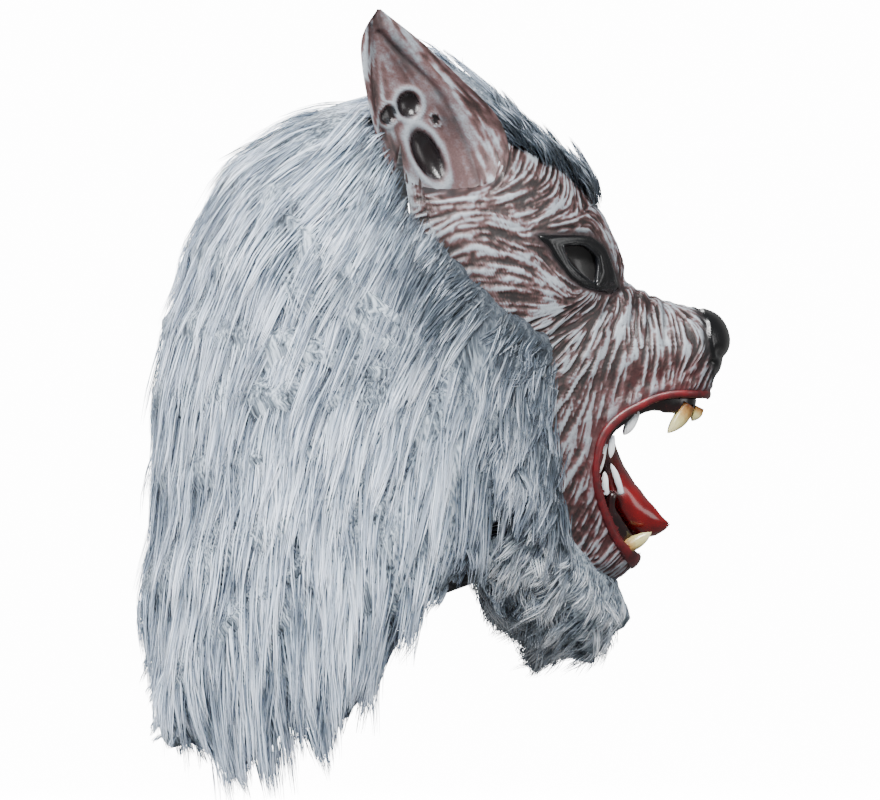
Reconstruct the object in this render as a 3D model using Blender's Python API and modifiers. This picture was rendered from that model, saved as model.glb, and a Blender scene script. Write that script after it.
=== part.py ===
# Wolf head costume mask: a hollow latex face, a cloth-backed fur hood, fur tufts, tongue, gums and teeth.
# Metres, +X forward out of the muzzle, +Y to the wearer's left, +Z up.
# The origin is the head seat: the top of the hollow, where the mask rests on the wearer's crown.
import bpy
import bmesh
import numpy as np
import math
from math import radians, sin, cos, pi
from mathutils import Vector
from mathutils.bvhtree import BVHTree

for item in list(bpy.data.objects):
    bpy.data.objects.remove(item, do_unlink=True)

# Driving sizes
MUZZLE_REACH = 0.168
CROWN_RISE = 0.2035
HALF_WIDTH = 0.080
LATEX_WALL = 0.0025
CLOTH_WALL = 0.0020
PIECE_GAP = 0.0004
EAR_HEIGHT = 0.131
EAR_WIDTH = 0.080
EAR_WALL = 0.0030
EAR_DISH = 0.018
EAR_SPREAD = 0.083
FUR_DEPTH = 0.070
FUR_DROP = 0.062
CREST_DEPTH = 0.034
BEARD_DEPTH = 0.048
CANINE_LENGTH = 0.021
CANINE_RADIUS = 0.0040
TOOTH_LENGTH = 0.019
TOOTH_RADIUS = 0.0022
GUM_RADIUS = 0.0034
TONGUE_REST = 0.0003
TONGUE_THICKNESS = 0.026
COLUMNS_PER_ROW = 2

# The pole is the point of the cheek from which every section of the head fans out.
# The crown row of the table stands a wall's thickness above the origin.
POLE_X = 0.1726 * MUZZLE_REACH
POLE_Z = LATEX_WALL - CROWN_RISE

# Around the head, one row for each ray from the pole to the edge of the head in side view.
# forward and up are shares of MUZZLE_REACH and CROWN_RISE. w20 to w78 are half-widths where the ray has
# gone 20 to 78 degrees of its quarter turn from pole to edge, and edge at its end, as shares of HALF_WIDTH.
# An edge of 0 closes on the middle plane, any other lies on the hem of the neck opening.
HEAD_ROWS = [
    # name, forward, up, w20, w35, w50, w65, w78, edge
    ("front_hem", 0.116, -0.559, 0.99, 0.95, 0.87, 0.69, 0.35, 0.00),
    ("throat", 0.290, -0.607, 0.96, 0.89, 0.75, 0.52, 0.25, 0.00),
    ("chin_back", 0.456, -0.588, 0.92, 0.78, 0.58, 0.40, 0.19, 0.00),
    ("chin", 0.565, -0.575, 0.90, 0.70, 0.50, 0.34, 0.16, 0.00),
    ("lower_lip", 0.646, -0.511, 0.88, 0.66, 0.46, 0.31, 0.15, 0.00),
    ("mouth_low", 0.754, -0.367, 0.84, 0.62, 0.45, 0.32, 0.16, 0.00),
    ("mouth_high", 0.870, -0.160, 0.80, 0.56, 0.43, 0.33, 0.18, 0.00),
    ("lip_front", 0.921, 0.006, 0.79, 0.53, 0.41, 0.34, 0.20, 0.00),
    ("lip_top", 0.940, 0.048, 0.78, 0.52, 0.41, 0.35, 0.21, 0.00),
    ("nose_under", 0.963, 0.102, 0.77, 0.51, 0.41, 0.35, 0.22, 0.00),
    ("nose_tip", 1.000, 0.185, 0.75, 0.50, 0.41, 0.34, 0.21, 0.00),
    ("nose_top", 0.967, 0.256, 0.75, 0.51, 0.40, 0.32, 0.20, 0.00),
    ("nose_bridge", 0.890, 0.288, 0.78, 0.54, 0.40, 0.30, 0.19, 0.00),
    ("bridge", 0.754, 0.313, 0.81, 0.61, 0.44, 0.31, 0.19, 0.00),
    ("bridge_rear", 0.662, 0.345, 0.85, 0.67, 0.49, 0.31, 0.175, 0.00),
    ("stop", 0.600, 0.380, 0.86, 0.71, 0.54, 0.35, 0.19, 0.00),
    ("between_eyes", 0.596, 0.441, 0.88, 0.74, 0.58, 0.40, 0.21, 0.00),
    ("brow", 0.553, 0.527, 0.89, 0.78, 0.65, 0.47, 0.25, 0.00),
    ("forehead_low", 0.495, 0.604, 0.91, 0.83, 0.71, 0.54, 0.29, 0.00),
    ("forehead", 0.368, 0.760, 0.95, 0.90, 0.80, 0.60, 0.32, 0.00),
    ("forehead_high", 0.174, 0.900, 0.99, 0.96, 0.86, 0.65, 0.35, 0.00),
    ("crown_front", -0.020, 0.978, 1.00, 1.00, 0.91, 0.70, 0.375, 0.00),
    ("crown", -0.193, 1.000, 1.01, 1.01, 0.94, 0.72, 0.39, 0.00),
    ("crown_rear", -0.406, 0.928, 1.01, 1.02, 0.95, 0.72, 0.39, 0.00),
    ("back_high", -0.600, 0.863, 1.02, 1.02, 0.95, 0.74, 0.39, 0.00),
    ("back", -0.743, 0.671, 1.02, 1.02, 0.95, 0.74, 0.39, 0.00),
    ("back_mid", -0.789, 0.447, 1.02, 1.02, 0.94, 0.71, 0.375, 0.00),
    ("nape_high", -0.789, 0.224, 1.01, 1.00, 0.91, 0.69, 0.36, 0.00),
    ("nape", -0.805, 0.000, 1.00, 0.99, 0.89, 0.66, 0.35, 0.00),
    ("nape_low", -0.836, -0.256, 1.00, 0.98, 0.875, 0.65, 0.34, 0.00),
    ("neck_back", -0.890, -0.575, 1.00, 0.975, 0.875, 0.65, 0.34, 0.00),
    ("rear_hem", -0.986, -0.863, 1.00, 0.985, 0.90, 0.68, 0.36, 0.00),
    ("hem_rear", -0.834, -0.821, 1.00, 1.00, 0.975, 0.91, 0.80, 0.70),
    ("hem_side", -0.511, -0.732, 1.00, 1.00, 1.00, 1.00, 1.00, 0.99),
    ("hem_front", -0.210, -0.648, 1.00, 1.00, 0.99, 0.975, 0.94, 0.91),
    ("hem_fore", 0.000, -0.591, 1.00, 0.99, 0.94, 0.83, 0.69, 0.61),
]
TURN_STATIONS = (0.0, 20.0, 35.0, 50.0, 65.0, 78.0, 90.0)
GRID_TURNS = (0.0, 18.0, 34.0, 48.0, 60.0, 71.0, 81.0, 90.0)

# Side outlines, as forward and up shares from the pole.
MOUTH_OUTLINE = [
    (1.100, 0.003), (0.897, 0.003), (0.816, 0.013), (0.735, 0.003), (0.660, -0.029), (0.596, -0.054),
    (0.545, -0.096), (0.510, -0.153), (0.500, -0.210), (0.503, -0.268), (0.526, -0.335), (0.557, -0.396),
    (0.596, -0.457), (0.640, -0.488), (1.100, -0.488),
]
EYE_OUTLINE = [
    (0.356, 0.486), (0.400, 0.492), (0.441, 0.489), (0.487, 0.454), (0.495, 0.409), (0.480, 0.367),
    (0.4255, 0.396), (0.379, 0.4345),
]
FACE_SEAM = [
    (-0.271, 1.120), (-0.263, 0.799), (-0.228, 0.575), (-0.077, 0.466), (0.000, 0.383), (0.097, 0.3035),
    (0.236, 0.227), (0.298, 0.208), (0.3095, 0.006), (0.298, -0.128), (0.329, -0.214), (0.360, -0.361),
    (0.4255, -0.508), (0.456, -0.581), (0.464, -0.720),
]
FACE_ZONE_END = [(1.160, -0.720), (1.160, 1.120)]


def share_point(forward, up):
    return POLE_X + forward * MUZZLE_REACH, POLE_Z + up * CROWN_RISE


def smooth_step(before, start, end, after, t):
    """Catmull-Rom value at t between start and end."""
    a = 2.0 * start
    b = end - before
    c = 2.0 * before - 5.0 * start + 4.0 * end - after
    d = -before + 3.0 * start - 3.0 * end + after
    return 0.5 * (a + b * t + c * t * t + d * t * t * t)


def ring_rows(table, per_row):
    """Rows of a closed table, with per_row columns for each row, as an array of its number columns."""
    values = np.array([row[1:] for row in table])
    count = len(values)
    result = []
    for i in range(count):
        for k in range(per_row):
            picked = [values[(i + j) % count] for j in (-1, 0, 1, 2)]
            step = smooth_step(*picked, k / per_row)
            if picked[1][-1] == 0.0 and picked[2][-1] == 0.0:
                step[-1] = 0.0
            result.append(step)
    return np.array(result)


def station_value(values, turn):
    """Smooth value along the turn stations, for one row."""
    stations = TURN_STATIONS
    i = 0
    while i < len(stations) - 2 and turn > stations[i + 1]:
        i += 1
    t = (turn - stations[i]) / (stations[i + 1] - stations[i])
    before = values[i - 1] if i > 0 else 2.0 * values[0] - values[1]
    after = values[i + 2] if i + 2 < len(values) else 2.0 * values[-1] - values[-2]
    if i == 0:
        before = values[1]
    return smooth_step(before, values[i], values[i + 1], after, t)


def head_points(turns):
    """Right-hand points of the head's outer surface: [column][turn] -> (x, y, z), with y of 0 or less."""
    rows = ring_rows(HEAD_ROWS, COLUMNS_PER_ROW)
    points = np.zeros((len(rows), len(turns), 3))
    for i, row in enumerate(rows):
        widths = [1.0] + list(row[2:])
        for j, turn in enumerate(turns):
            share = sin(radians(turn))
            x, z = share_point(row[0] * share, row[1] * share)
            points[i, j] = (x, -HALF_WIDTH * max(station_value(widths, turn), 0.0), z)
        if row[-1] == 0.0:
            points[i, -1, 1] = 0.0
    return points


def fan_cells(columns, turns):
    """Cells of a closed fan of columns: quads, with triangles at the pole, which is vertex 0."""
    def index(i, j):
        return 0 if j == 0 else 1 + (i % columns) * (turns - 1) + (j - 1)
    faces = []
    for i in range(columns):
        faces.append((0, index(i + 1, 1), index(i, 1)))
        for j in range(1, turns - 1):
            faces.append((index(i, j), index(i + 1, j), index(i + 1, j + 1), index(i, j + 1)))
    return faces, index


def split_cells(cells):
    """Triangles of a list of cells, each quad parted along the same diagonal, so that layers match."""
    faces = []
    for cell in cells:
        faces.append(tuple(cell[:3]))
        if len(cell) == 4:
            faces.append((cell[0], cell[2], cell[3]))
    return faces


def flat_fan(points):
    return np.vstack([points[0, 0][None, :], points[:, 1:].reshape(-1, 3)])


def fan_normals(vertices, faces):
    """Outward vertex normals of the right-hand fan, kept in the middle plane where the fan closes."""
    normals = np.zeros_like(vertices)
    for face in faces:
        a, b, c = (vertices[v] for v in face)
        normal = np.cross(b - a, c - a)
        for v in face:
            normals[v] += normal
    middle = np.abs(vertices[:, 1]) < 1e-7
    normals[middle, 1] = 0.0
    lengths = np.linalg.norm(normals, axis=1)
    normals /= np.maximum(lengths, 1e-12)[:, None]
    outward = np.sum(normals * (vertices - np.array([POLE_X, 0.0, POLE_Z])), axis=1)
    if np.sum(outward) < 0.0:
        normals = -normals
    return normals


def mirrored_mesh(name, vertices, faces):
    """A mesh of the right-hand shape and its mirror image, welded on the middle plane, faces outwards."""
    mesh = bpy.data.meshes.new(name)
    count = len(vertices)
    left = vertices * np.array([1.0, -1.0, 1.0])
    all_faces = list(faces) + [tuple(v + count for v in reversed(face)) for face in faces]
    mesh.from_pydata([tuple(v) for v in np.vstack([vertices, left])], [], all_faces)
    shape = bmesh.new()
    shape.from_mesh(mesh)
    bmesh.ops.remove_doubles(shape, verts=shape.verts, dist=1e-6)
    bmesh.ops.dissolve_degenerate(shape, dist=1e-6, edges=shape.edges)
    bmesh.ops.recalc_face_normals(shape, faces=shape.faces)
    shape.to_mesh(mesh)
    shape.free()
    return mesh


mask_parts = bpy.data.collections.new("wolf_mask")
cutting_shapes = bpy.data.collections.new("cutters")
bpy.context.scene.collection.children.link(mask_parts)
bpy.context.scene.collection.children.link(cutting_shapes)


def finish_material(name, colour, roughness, metallic=0.0):
    material = bpy.data.materials.new(name)
    material.use_nodes = True
    shader = material.node_tree.nodes["Principled BSDF"]
    shader.inputs["Base Color"].default_value = (*colour, 1.0)
    shader.inputs["Roughness"].default_value = roughness
    shader.inputs["Metallic"].default_value = metallic
    return material


def add_part(name, mesh, material, smooth_angle=40.0):
    part = bpy.data.objects.new(name, mesh)
    mask_parts.objects.link(part)
    mesh.materials.clear()
    mesh.materials.append(material)
    mesh.shade_smooth()
    mesh.set_sharp_from_angle(angle=radians(smooth_angle))
    return part


def add_cutter(name, mesh):
    cutter = bpy.data.objects.new(name, mesh)
    cutting_shapes.objects.link(cutter)
    cutter.display_type = "WIRE"
    cutter.hide_render = True
    return cutter


def combine(part, cutter, operation):
    step = part.modifiers.new(operation.lower(), "BOOLEAN")
    step.operation = operation
    step.object = cutter
    step.solver = "EXACT"


def side_prism(name, outline, reach=0.30):
    """A cutter: a side outline of share points, extruded across the whole width."""
    shape = bmesh.new()
    near = [shape.verts.new((x, -reach, z)) for x, z in outline]
    far = [shape.verts.new((x, reach, z)) for x, z in outline]
    count = len(outline)
    shape.faces.new(near)
    shape.faces.new(list(reversed(far)))
    for i in range(count):
        shape.faces.new((near[i], far[i], far[(i + 1) % count], near[(i + 1) % count]))
    bmesh.ops.recalc_face_normals(shape, faces=shape.faces)
    mesh = bpy.data.meshes.new(name)
    shape.to_mesh(mesh)
    shape.free()
    return add_cutter(name, mesh)


def grown_shares(shares, forward, up):
    """Side points in metres, shifted by a clearance."""
    return [(x + forward, z + up) for x, z in (share_point(*share) for share in shares)]


# Materials
latex = finish_material("painted_latex", (0.36, 0.33, 0.34), 0.55)
cloth = finish_material("backing_cloth", (0.10, 0.11, 0.12), 0.95)
long_fur = finish_material("grey_long_fur", (0.52, 0.57, 0.62), 0.85)
crest_pile = finish_material("light_crest_fur", (0.60, 0.65, 0.70), 0.85)
beard_pile = finish_material("dark_beard_fur", (0.22, 0.24, 0.26), 0.85)
tongue_latex = finish_material("glossy_red_latex", (0.42, 0.02, 0.02), 0.20)
gum_latex = finish_material("dark_gum_latex", (0.08, 0.03, 0.02), 0.35)
tooth_resin = finish_material("cream_tooth_resin", (0.78, 0.72, 0.45), 0.30)

# Head wall: one fan surface, thickened inwards, then parted along the seam
head_grid = head_points(GRID_TURNS)
head_cells, head_index = fan_cells(len(head_grid), len(GRID_TURNS))
head_faces = split_cells(head_cells)
head_vertices = flat_fan(head_grid)
head_normals = fan_normals(head_vertices, head_faces)
face_zone = side_prism("face_zone", grown_shares(FACE_SEAM + FACE_ZONE_END, 0.0, 0.0))
hood_limit = side_prism("hood_limit", grown_shares(FACE_SEAM + FACE_ZONE_END, -PIECE_GAP, -PIECE_GAP))
mouth_cut = side_prism("mouth_cut", grown_shares(MOUTH_OUTLINE, 0.0, 0.0))
eye_cut = side_prism("eye_cut", grown_shares(EYE_OUTLINE, 0.0, 0.0))


def inset_head(name, depth, skirt):
    """A closed solid of the space depth inside the head surface, shut a skirt below the neck rim."""
    vertices = head_vertices - head_normals * depth
    columns = len(head_grid)
    turns = len(GRID_TURNS)
    rim = [i for i in range(columns) if abs(head_grid[i, -1, 1]) > 1e-7]
    ring = [i % columns for i in range(rim[0] - 1, rim[-1] + 2)]
    lowered = [vertices[head_index(i, turns - 1)] - np.array([0.0, 0.0, skirt]) for i in ring]
    middle = [place * np.array([1.0, 0.0, 1.0]) for place in lowered]
    base = len(vertices)
    faces = list(head_faces)
    for k in range(len(ring) - 1):
        a, b = head_index(ring[k], turns - 1), head_index(ring[k + 1], turns - 1)
        low_a, low_b = base + k, base + k + 1
        faces.append((a, b, low_b, low_a))
        faces.append((low_a, low_b, low_b + len(ring), low_a + len(ring)))
    return mirrored_mesh(name, np.vstack([vertices, np.array(lowered), np.array(middle)]), faces)


face_mesh = mirrored_mesh("latex_face", head_vertices, head_faces)
latex_face = add_part("latex_face", face_mesh, latex)
face_wall = latex_face.modifiers.new("wall", "SOLIDIFY")
face_wall.thickness = LATEX_WALL
face_wall.offset = -1.0
combine(latex_face, face_zone, "INTERSECT")
combine(latex_face, mouth_cut, "DIFFERENCE")
combine(latex_face, eye_cut, "DIFFERENCE")

hood_mesh = mirrored_mesh("hood_backing", head_vertices, head_faces)
hood_backing = add_part("hood_backing", hood_mesh, cloth)
hood_wall = hood_backing.modifiers.new("wall", "SOLIDIFY")
hood_wall.thickness = CLOTH_WALL
hood_wall.offset = -1.0
combine(hood_backing, hood_limit, "DIFFERENCE")

# Ears: cupped leaves of latex, cast in one with the face. One row for each height of an ear.
# height runs from 1 at the tip down to 0 at the base, rear and front are shares of EAR_WIDTH ahead of the
# ear's foot, lean is a share of EAR_SPREAD and dish a share of EAR_DISH.
EAR_ROWS = [
    # height, rear, front, lean, dish
    (1.000, -0.545, -0.520, 1.02, 0.00),
    (0.910, -0.640, -0.330, 1.02, 0.15),
    (0.820, -0.680, -0.150, 1.01, 0.35),
    (0.670, -0.660, 0.110, 1.00, 0.65),
    (0.490, -0.600, 0.400, 0.98, 0.90),
    (0.330, -0.530, 0.510, 0.95, 1.00),
    (0.160, -0.400, 0.470, 0.91, 0.85),
    (-0.010, -0.220, 0.320, 0.86, 0.60),
]
EAR_ACROSS = 7
EAR_FOOT_X = POLE_X - 0.116 * MUZZLE_REACH + 0.045 * EAR_WIDTH
EAR_FOOT_Z = POLE_Z + 0.591 * CROWN_RISE


def ear_mesh(name, grow=0.0):
    """Right ear as one closed leaf: the dished face towards the side, its back EAR_WALL behind it."""
    loops = []
    for height, rear, front, lean, dish in EAR_ROWS:
        z = EAR_FOOT_Z + height * EAR_HEIGHT
        outer, inner = [], []
        for k in range(EAR_ACROSS):
            across = k / (EAR_ACROSS - 1)
            x = EAR_FOOT_X + (rear + (front - rear) * across) * EAR_WIDTH
            arch = 1.0 - (2.0 * across - 1.0) ** 2
            y = -lean * EAR_SPREAD + 0.10 * EAR_WIDTH * across + dish * EAR_DISH * arch ** 0.8
            outer.append((x, y, z))
            inner.append((x, y + EAR_WALL * (0.55 + 0.45 * arch), z))
        loops.append(outer + list(reversed(inner)))
    around = 2 * EAR_ACROSS
    vertices = [point for loop in loops for point in loop]
    faces = []
    for i in range(len(loops) - 1):
        for k in range(around):
            a, b = i * around + k, i * around + (k + 1) % around
            faces.append((a, b, b + around, a + around))
    faces.append(tuple(range(around - 1, -1, -1)))
    faces.append(tuple(range((len(loops) - 1) * around, len(loops) * around)))
    shape = bmesh.new()
    points = [shape.verts.new(vertex) for vertex in vertices]
    for face in faces:
        shape.faces.new([points[v] for v in face])
    bmesh.ops.recalc_face_normals(shape, faces=shape.faces)
    shape.normal_update()
    if grow > 0.0:
        moved = [vertex.co + vertex.normal * grow for vertex in shape.verts]
        for vertex, place in zip(shape.verts, moved):
            vertex.co = place
    mesh = bpy.data.meshes.new(name)
    shape.to_mesh(mesh)
    shape.free()
    return mesh


def mirror_across(mesh, name):
    shape = bmesh.new()
    shape.from_mesh(mesh)
    for vertex in shape.verts:
        vertex.co.y = -vertex.co.y
    bmesh.ops.reverse_faces(shape, faces=shape.faces)
    result = bpy.data.meshes.new(name)
    shape.to_mesh(result)
    shape.free()
    return result


hollow = add_cutter("hollow", inset_head("hollow", 0.55 * LATEX_WALL, LATEX_WALL))
ear_right_mesh = ear_mesh("ear_right")
for side, mesh in (("right", ear_right_mesh), ("left", mirror_across(ear_right_mesh, "ear_left"))):
    ear = add_cutter("ear_" + side, mesh)
    combine(ear, hollow, "DIFFERENCE")
    combine(latex_face, ear, "UNION")
ear_room_mesh = ear_mesh("ear_room_right", 2.0 * PIECE_GAP)
ear_rooms = [
    add_cutter("ear_room_right", ear_room_mesh),
    add_cutter("ear_room_left", mirror_across(ear_room_mesh, "ear_room_left")),
]

for room in ear_rooms:
    combine(hood_backing, room, "DIFFERENCE")

# Fur: locks fused to one backing layer that lies on the head wall.
# side35, side65 and edge are the fur's depth at those turns, as shares of FUR_DEPTH. drop is how far its
# tips hang below the row's edge, as a share of FUR_DROP, and back is how far they swing to the rear.
FUR_ROWS = [
    # name, side35, side65, edge, drop, back
    ("front_hem", 0.20, 0.18, 0.16, 0.00, 0.00),
    ("throat", 0.18, 0.14, 0.12, 0.00, 0.00),
    ("chin_back", 0.16, 0.12, 0.12, 0.00, 0.00),
    ("chin", 0.15, 0.12, 0.12, 0.00, 0.00),
    ("lower_lip", 0.15, 0.12, 0.12, 0.00, 0.00),
    ("mouth_low", 0.15, 0.12, 0.12, 0.00, 0.00),
    ("mouth_high", 0.15, 0.12, 0.12, 0.00, 0.00),
    ("lip_front", 0.15, 0.12, 0.12, 0.00, 0.00),
    ("lip_top", 0.15, 0.12, 0.12, 0.00, 0.00),
    ("nose_under", 0.15, 0.12, 0.12, 0.00, 0.00),
    ("nose_tip", 0.15, 0.12, 0.12, 0.00, 0.00),
    ("nose_top", 0.15, 0.12, 0.12, 0.00, 0.00),
    ("nose_bridge", 0.15, 0.12, 0.12, 0.00, 0.00),
    ("bridge", 0.15, 0.12, 0.12, 0.00, 0.00),
    ("bridge_rear", 0.15, 0.12, 0.12, 0.00, 0.00),
    ("stop", 0.15, 0.12, 0.12, 0.00, 0.00),
    ("between_eyes", 0.15, 0.12, 0.12, 0.00, 0.00),
    ("brow", 0.15, 0.12, 0.12, 0.00, 0.00),
    ("forehead_low", 0.15, 0.12, 0.12, 0.00, 0.00),
    ("forehead", 0.14, 0.11, 0.11, 0.00, 0.00),
    ("forehead_high", 0.14, 0.11, 0.10, 0.00, 0.00),
    ("crown_front", 0.15, 0.12, 0.10, 0.00, 0.00),
    ("crown", 0.17, 0.14, 0.11, 0.00, 0.00),
    ("crown_rear", 0.18, 0.14, 0.09, 0.00, 0.00),
    ("back_high", 0.28, 0.24, 0.15, 0.00, 0.00),
    ("back", 0.38, 0.42, 0.49, 0.00, 0.00),
    ("back_mid", 0.44, 0.54, 0.72, 0.00, 0.00),
    ("nape_high", 0.50, 0.66, 0.93, 0.02, 0.00),
    ("nape", 0.54, 0.72, 1.00, 0.05, 0.00),
    ("nape_low", 0.56, 0.72, 0.91, 0.10, 0.00),
    ("neck_back", 0.58, 0.72, 0.88, 0.25, 0.00),
    ("rear_hem", 0.58, 0.64, 0.52, 0.72, 0.02),
    ("hem_rear", 0.56, 0.58, 0.50, 0.90, -0.05),
    ("hem_side", 0.54, 0.54, 0.44, 0.90, 0.10),
    ("hem_front", 0.46, 0.44, 0.34, 0.72, 0.10),
    ("hem_fore", 0.30, 0.24, 0.20, 0.10, 0.00),
]
FUR_POLE = 0.38
LOCK_RELIEF = 0.13
SHORT_LOCK = 0.55
FULL_LOCK_DEPTH = 0.4
PILE_EVENING = 5
FUR_STATIONS = (0.0, 35.0, 65.0, 90.0)
EDGE_MERGE_TURN = 3.0


def pile_directions():
    """Directions in which the fur stands off the head: its normals, evened out round each ring of columns."""
    columns = len(head_grid)
    turns = len(GRID_TURNS)
    directions = head_normals.copy()
    for j in range(1, turns):
        ring = np.array([head_normals[head_index(i, j)] for i in range(columns)])
        for _ in range(PILE_EVENING):
            ring = ring + 0.5 * (np.roll(ring, 1, axis=0) + np.roll(ring, -1, axis=0))
            ring /= np.linalg.norm(ring, axis=1)[:, None]
        for i in range(columns):
            directions[head_index(i, j)] = ring[i]
    return directions


def seam_turn(forward, up):
    """The turn at which a ray from the pole meets the face seam, or 90 where it misses it."""
    nearest = 1.0
    for (f0, u0), (f1, u1) in zip(FACE_SEAM, FACE_SEAM[1:]):
        across = forward * (u1 - u0) - up * (f1 - f0)
        if abs(across) < 1e-9:
            continue
        along = (f0 * (u1 - u0) - u0 * (f1 - f0)) / across
        part_way = (f0 * up - u0 * forward) / across
        if along > 0.02 and 0.0 <= part_way <= 1.0:
            nearest = min(nearest, along)
    return math.degrees(math.asin(nearest))


def fur_ends(columns):
    """For each column, the turn at which the hood's fur ends: the seam, the beard's edge or the hem."""
    names = [row[0] for row in HEAD_ROWS]
    first = names.index(BEARD_ROWS[0][0]) * COLUMNS_PER_ROW
    beard_starts = [row[1] for row in BEARD_ROWS[:-1]]
    ends = []
    for i, row in enumerate(columns):
        end = seam_turn(row[0], row[1])
        along = ((i - first) % len(columns)) / COLUMNS_PER_ROW
        if along <= len(beard_starts) - 1:
            end = min(end, np.interp(along, range(len(beard_starts)), beard_starts) - BEARD_PARTING)
        ends.append(end)
    return ends


def fur_solid(name, rows, depth, pole_share):
    """A closed layer between the head wall and the fur's outer form, with a lock on every other column."""
    clearance = 2.0 * PIECE_GAP
    columns = len(head_grid)
    turns = len(GRID_TURNS)
    head_columns = ring_rows(HEAD_ROWS, COLUMNS_PER_ROW)
    ends = fur_ends(head_columns)
    table = ring_rows([row + (1.0,) for row in rows], COLUMNS_PER_ROW)
    directions = pile_directions()
    # last is the station of each column that lies on the fur's edge
    last = [1 + sum(1 for turn in GRID_TURNS[1:] if turn < end - EDGE_MERGE_TURN) for end in ends]
    inner = head_vertices + head_normals * clearance
    for i, end in enumerate(ends):
        if last[i] < turns and end < 89.9:
            widths = [1.0] + list(head_columns[i][2:])
            share = sin(radians(end))
            x, z = share_point(head_columns[i][0] * share, head_columns[i][1] * share)
            place = np.array([x, -HALF_WIDTH * station_value(widths, end), z])
            v = head_index(i, last[i])
            inner[v] = place + head_normals[v] * clearance
    outer = inner.copy()
    outer[0] += directions[0] * pole_share * depth
    for i in range(columns):
        side35, side65, edge, drop, back = table[i][:5]
        relief = LOCK_RELIEF * min(1.0, edge / FULL_LOCK_DEPTH)
        lock = 1.0 + relief * (1.0 if i % 2 == 0 else -1.0)
        reach = drop * (1.0 if i % 2 == 0 else SHORT_LOCK)
        for j in range(1, turns):
            turn = min(GRID_TURNS[j], ends[i])
            share = np.interp(turn, FUR_STATIONS, (pole_share, side35, side65, edge))
            if j == last[i] and ends[i] < 89.9:
                share *= SEAM_PILE
            v = head_index(i, j)
            outer[v] += directions[v] * share * depth * lock
            fall = (turn / 90.0) ** 3 * FUR_DROP
            outer[v] += np.array([-back * fall, 0.0, -reach * fall])
    outer[:, 1] = np.minimum(outer[:, 1], 0.0)
    outer[np.abs(head_vertices[:, 1]) < 1e-7, 1] = 0.0
    kept = split_cells([cell for n, cell in enumerate(head_cells)
                        if cell_is_inside(n // (turns - 1), n % (turns - 1), last)])
    count = len(inner)
    faces = list(kept) + [tuple(v + count for v in reversed(face)) for face in kept]
    faces += rim_faces(kept, head_vertices, count)
    return mirrored_mesh(name, np.vstack([inner, outer]), faces)


def cell_is_inside(column, station, last):
    """Whether the grid cell from a station outwards, between a column and the next, carries fur."""
    return station + 1 <= last[column] and station + 1 <= last[(column + 1) % len(last)]


def rim_faces(faces, places, count):
    """Faces that join the edge of a sheet to the edge of its copy, except on the middle plane."""
    edges = {}
    for face in faces:
        for a, b in zip(face, face[1:] + face[:1]):
            edges[(a, b)] = edges.get((a, b), 0) + 1
    rims = []
    for a, b in edges:
        if (b, a) in edges:
            continue
        if abs(places[a][1]) < 1e-7 and abs(places[b][1]) < 1e-7:
            continue
        rims.append((b, a, a + count, b + count))
    return rims


# Fur patches: the crest and the beard, each a strip of pile on its own backing.
# start is the turn at which the strip begins on the side of the head. side, middle and edge are its depths
# at the start, half way and at the middle plane, as shares of the patch's depth. drop is how far the edge
# hangs and back how far it swings to the rear, as shares of the depth.
CREST_ROWS = [
    # name, start, side, middle, edge, drop, back
    ("forehead_low", 83.0, 0.04, 0.06, 0.08, 0.00, 0.00),
    ("forehead", 74.0, 0.06, 0.12, 0.15, 0.00, 0.00),
    ("forehead_high", 67.0, 0.08, 0.14, 0.17, 0.00, 0.00),
    ("crown_front", 63.0, 0.10, 0.30, 0.46, 0.00, 0.10),
    ("crown", 64.0, 0.10, 0.44, 0.86, 0.00, -0.30),
]
BEARD_ROWS = [
    # name, start, side, middle, edge, drop, back
    ("hem_front", 78.0, 0.10, 0.16, 0.20, 0.10, 0.10),
    ("hem_fore", 62.0, 0.16, 0.30, 0.36, 0.35, 0.15),
    ("front_hem", 50.0, 0.18, 0.36, 0.62, 0.30, 0.10),
    ("throat", 42.0, 0.18, 0.40, 0.86, 0.42, 0.12),
    ("chin_back", 30.0, 0.16, 0.36, 0.84, 0.46, 0.06),
    ("chin", 82.0, 0.04, 0.24, 0.52, 0.18, -0.05),
]
PATCH_STEPS = 5
BEARD_PARTING = 7.0
SEAM_PILE = 0.5


def head_surface_turns(turns_by_column, first):
    """Head points and pile directions of neighbouring columns, each at its own list of turns."""
    rows = ring_rows(HEAD_ROWS, COLUMNS_PER_ROW)
    directions = pile_directions()
    count = len(rows)
    points, normals = [], []
    for n, turns in enumerate(turns_by_column):
        i = (first + n) % count
        widths = [1.0] + list(rows[i][2:])
        for turn in turns:
            share = sin(radians(turn))
            x, z = share_point(rows[i][0] * share, rows[i][1] * share)
            y = -HALF_WIDTH * max(station_value(widths, turn), 0.0)
            if turn == 90.0 and rows[i][-1] == 0.0:
                y = 0.0
            j = max(1, min(int(np.searchsorted(GRID_TURNS, turn)), len(GRID_TURNS) - 1))
            low, high = GRID_TURNS[j - 1], GRID_TURNS[j]
            t = (turn - low) / (high - low)
            normal = (1 - t) * directions[head_index(i, j - 1)] + t * directions[head_index(i, j)]
            points.append((x, y, z))
            normals.append(normal / np.linalg.norm(normal))
    return np.array(points), np.array(normals)


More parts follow.
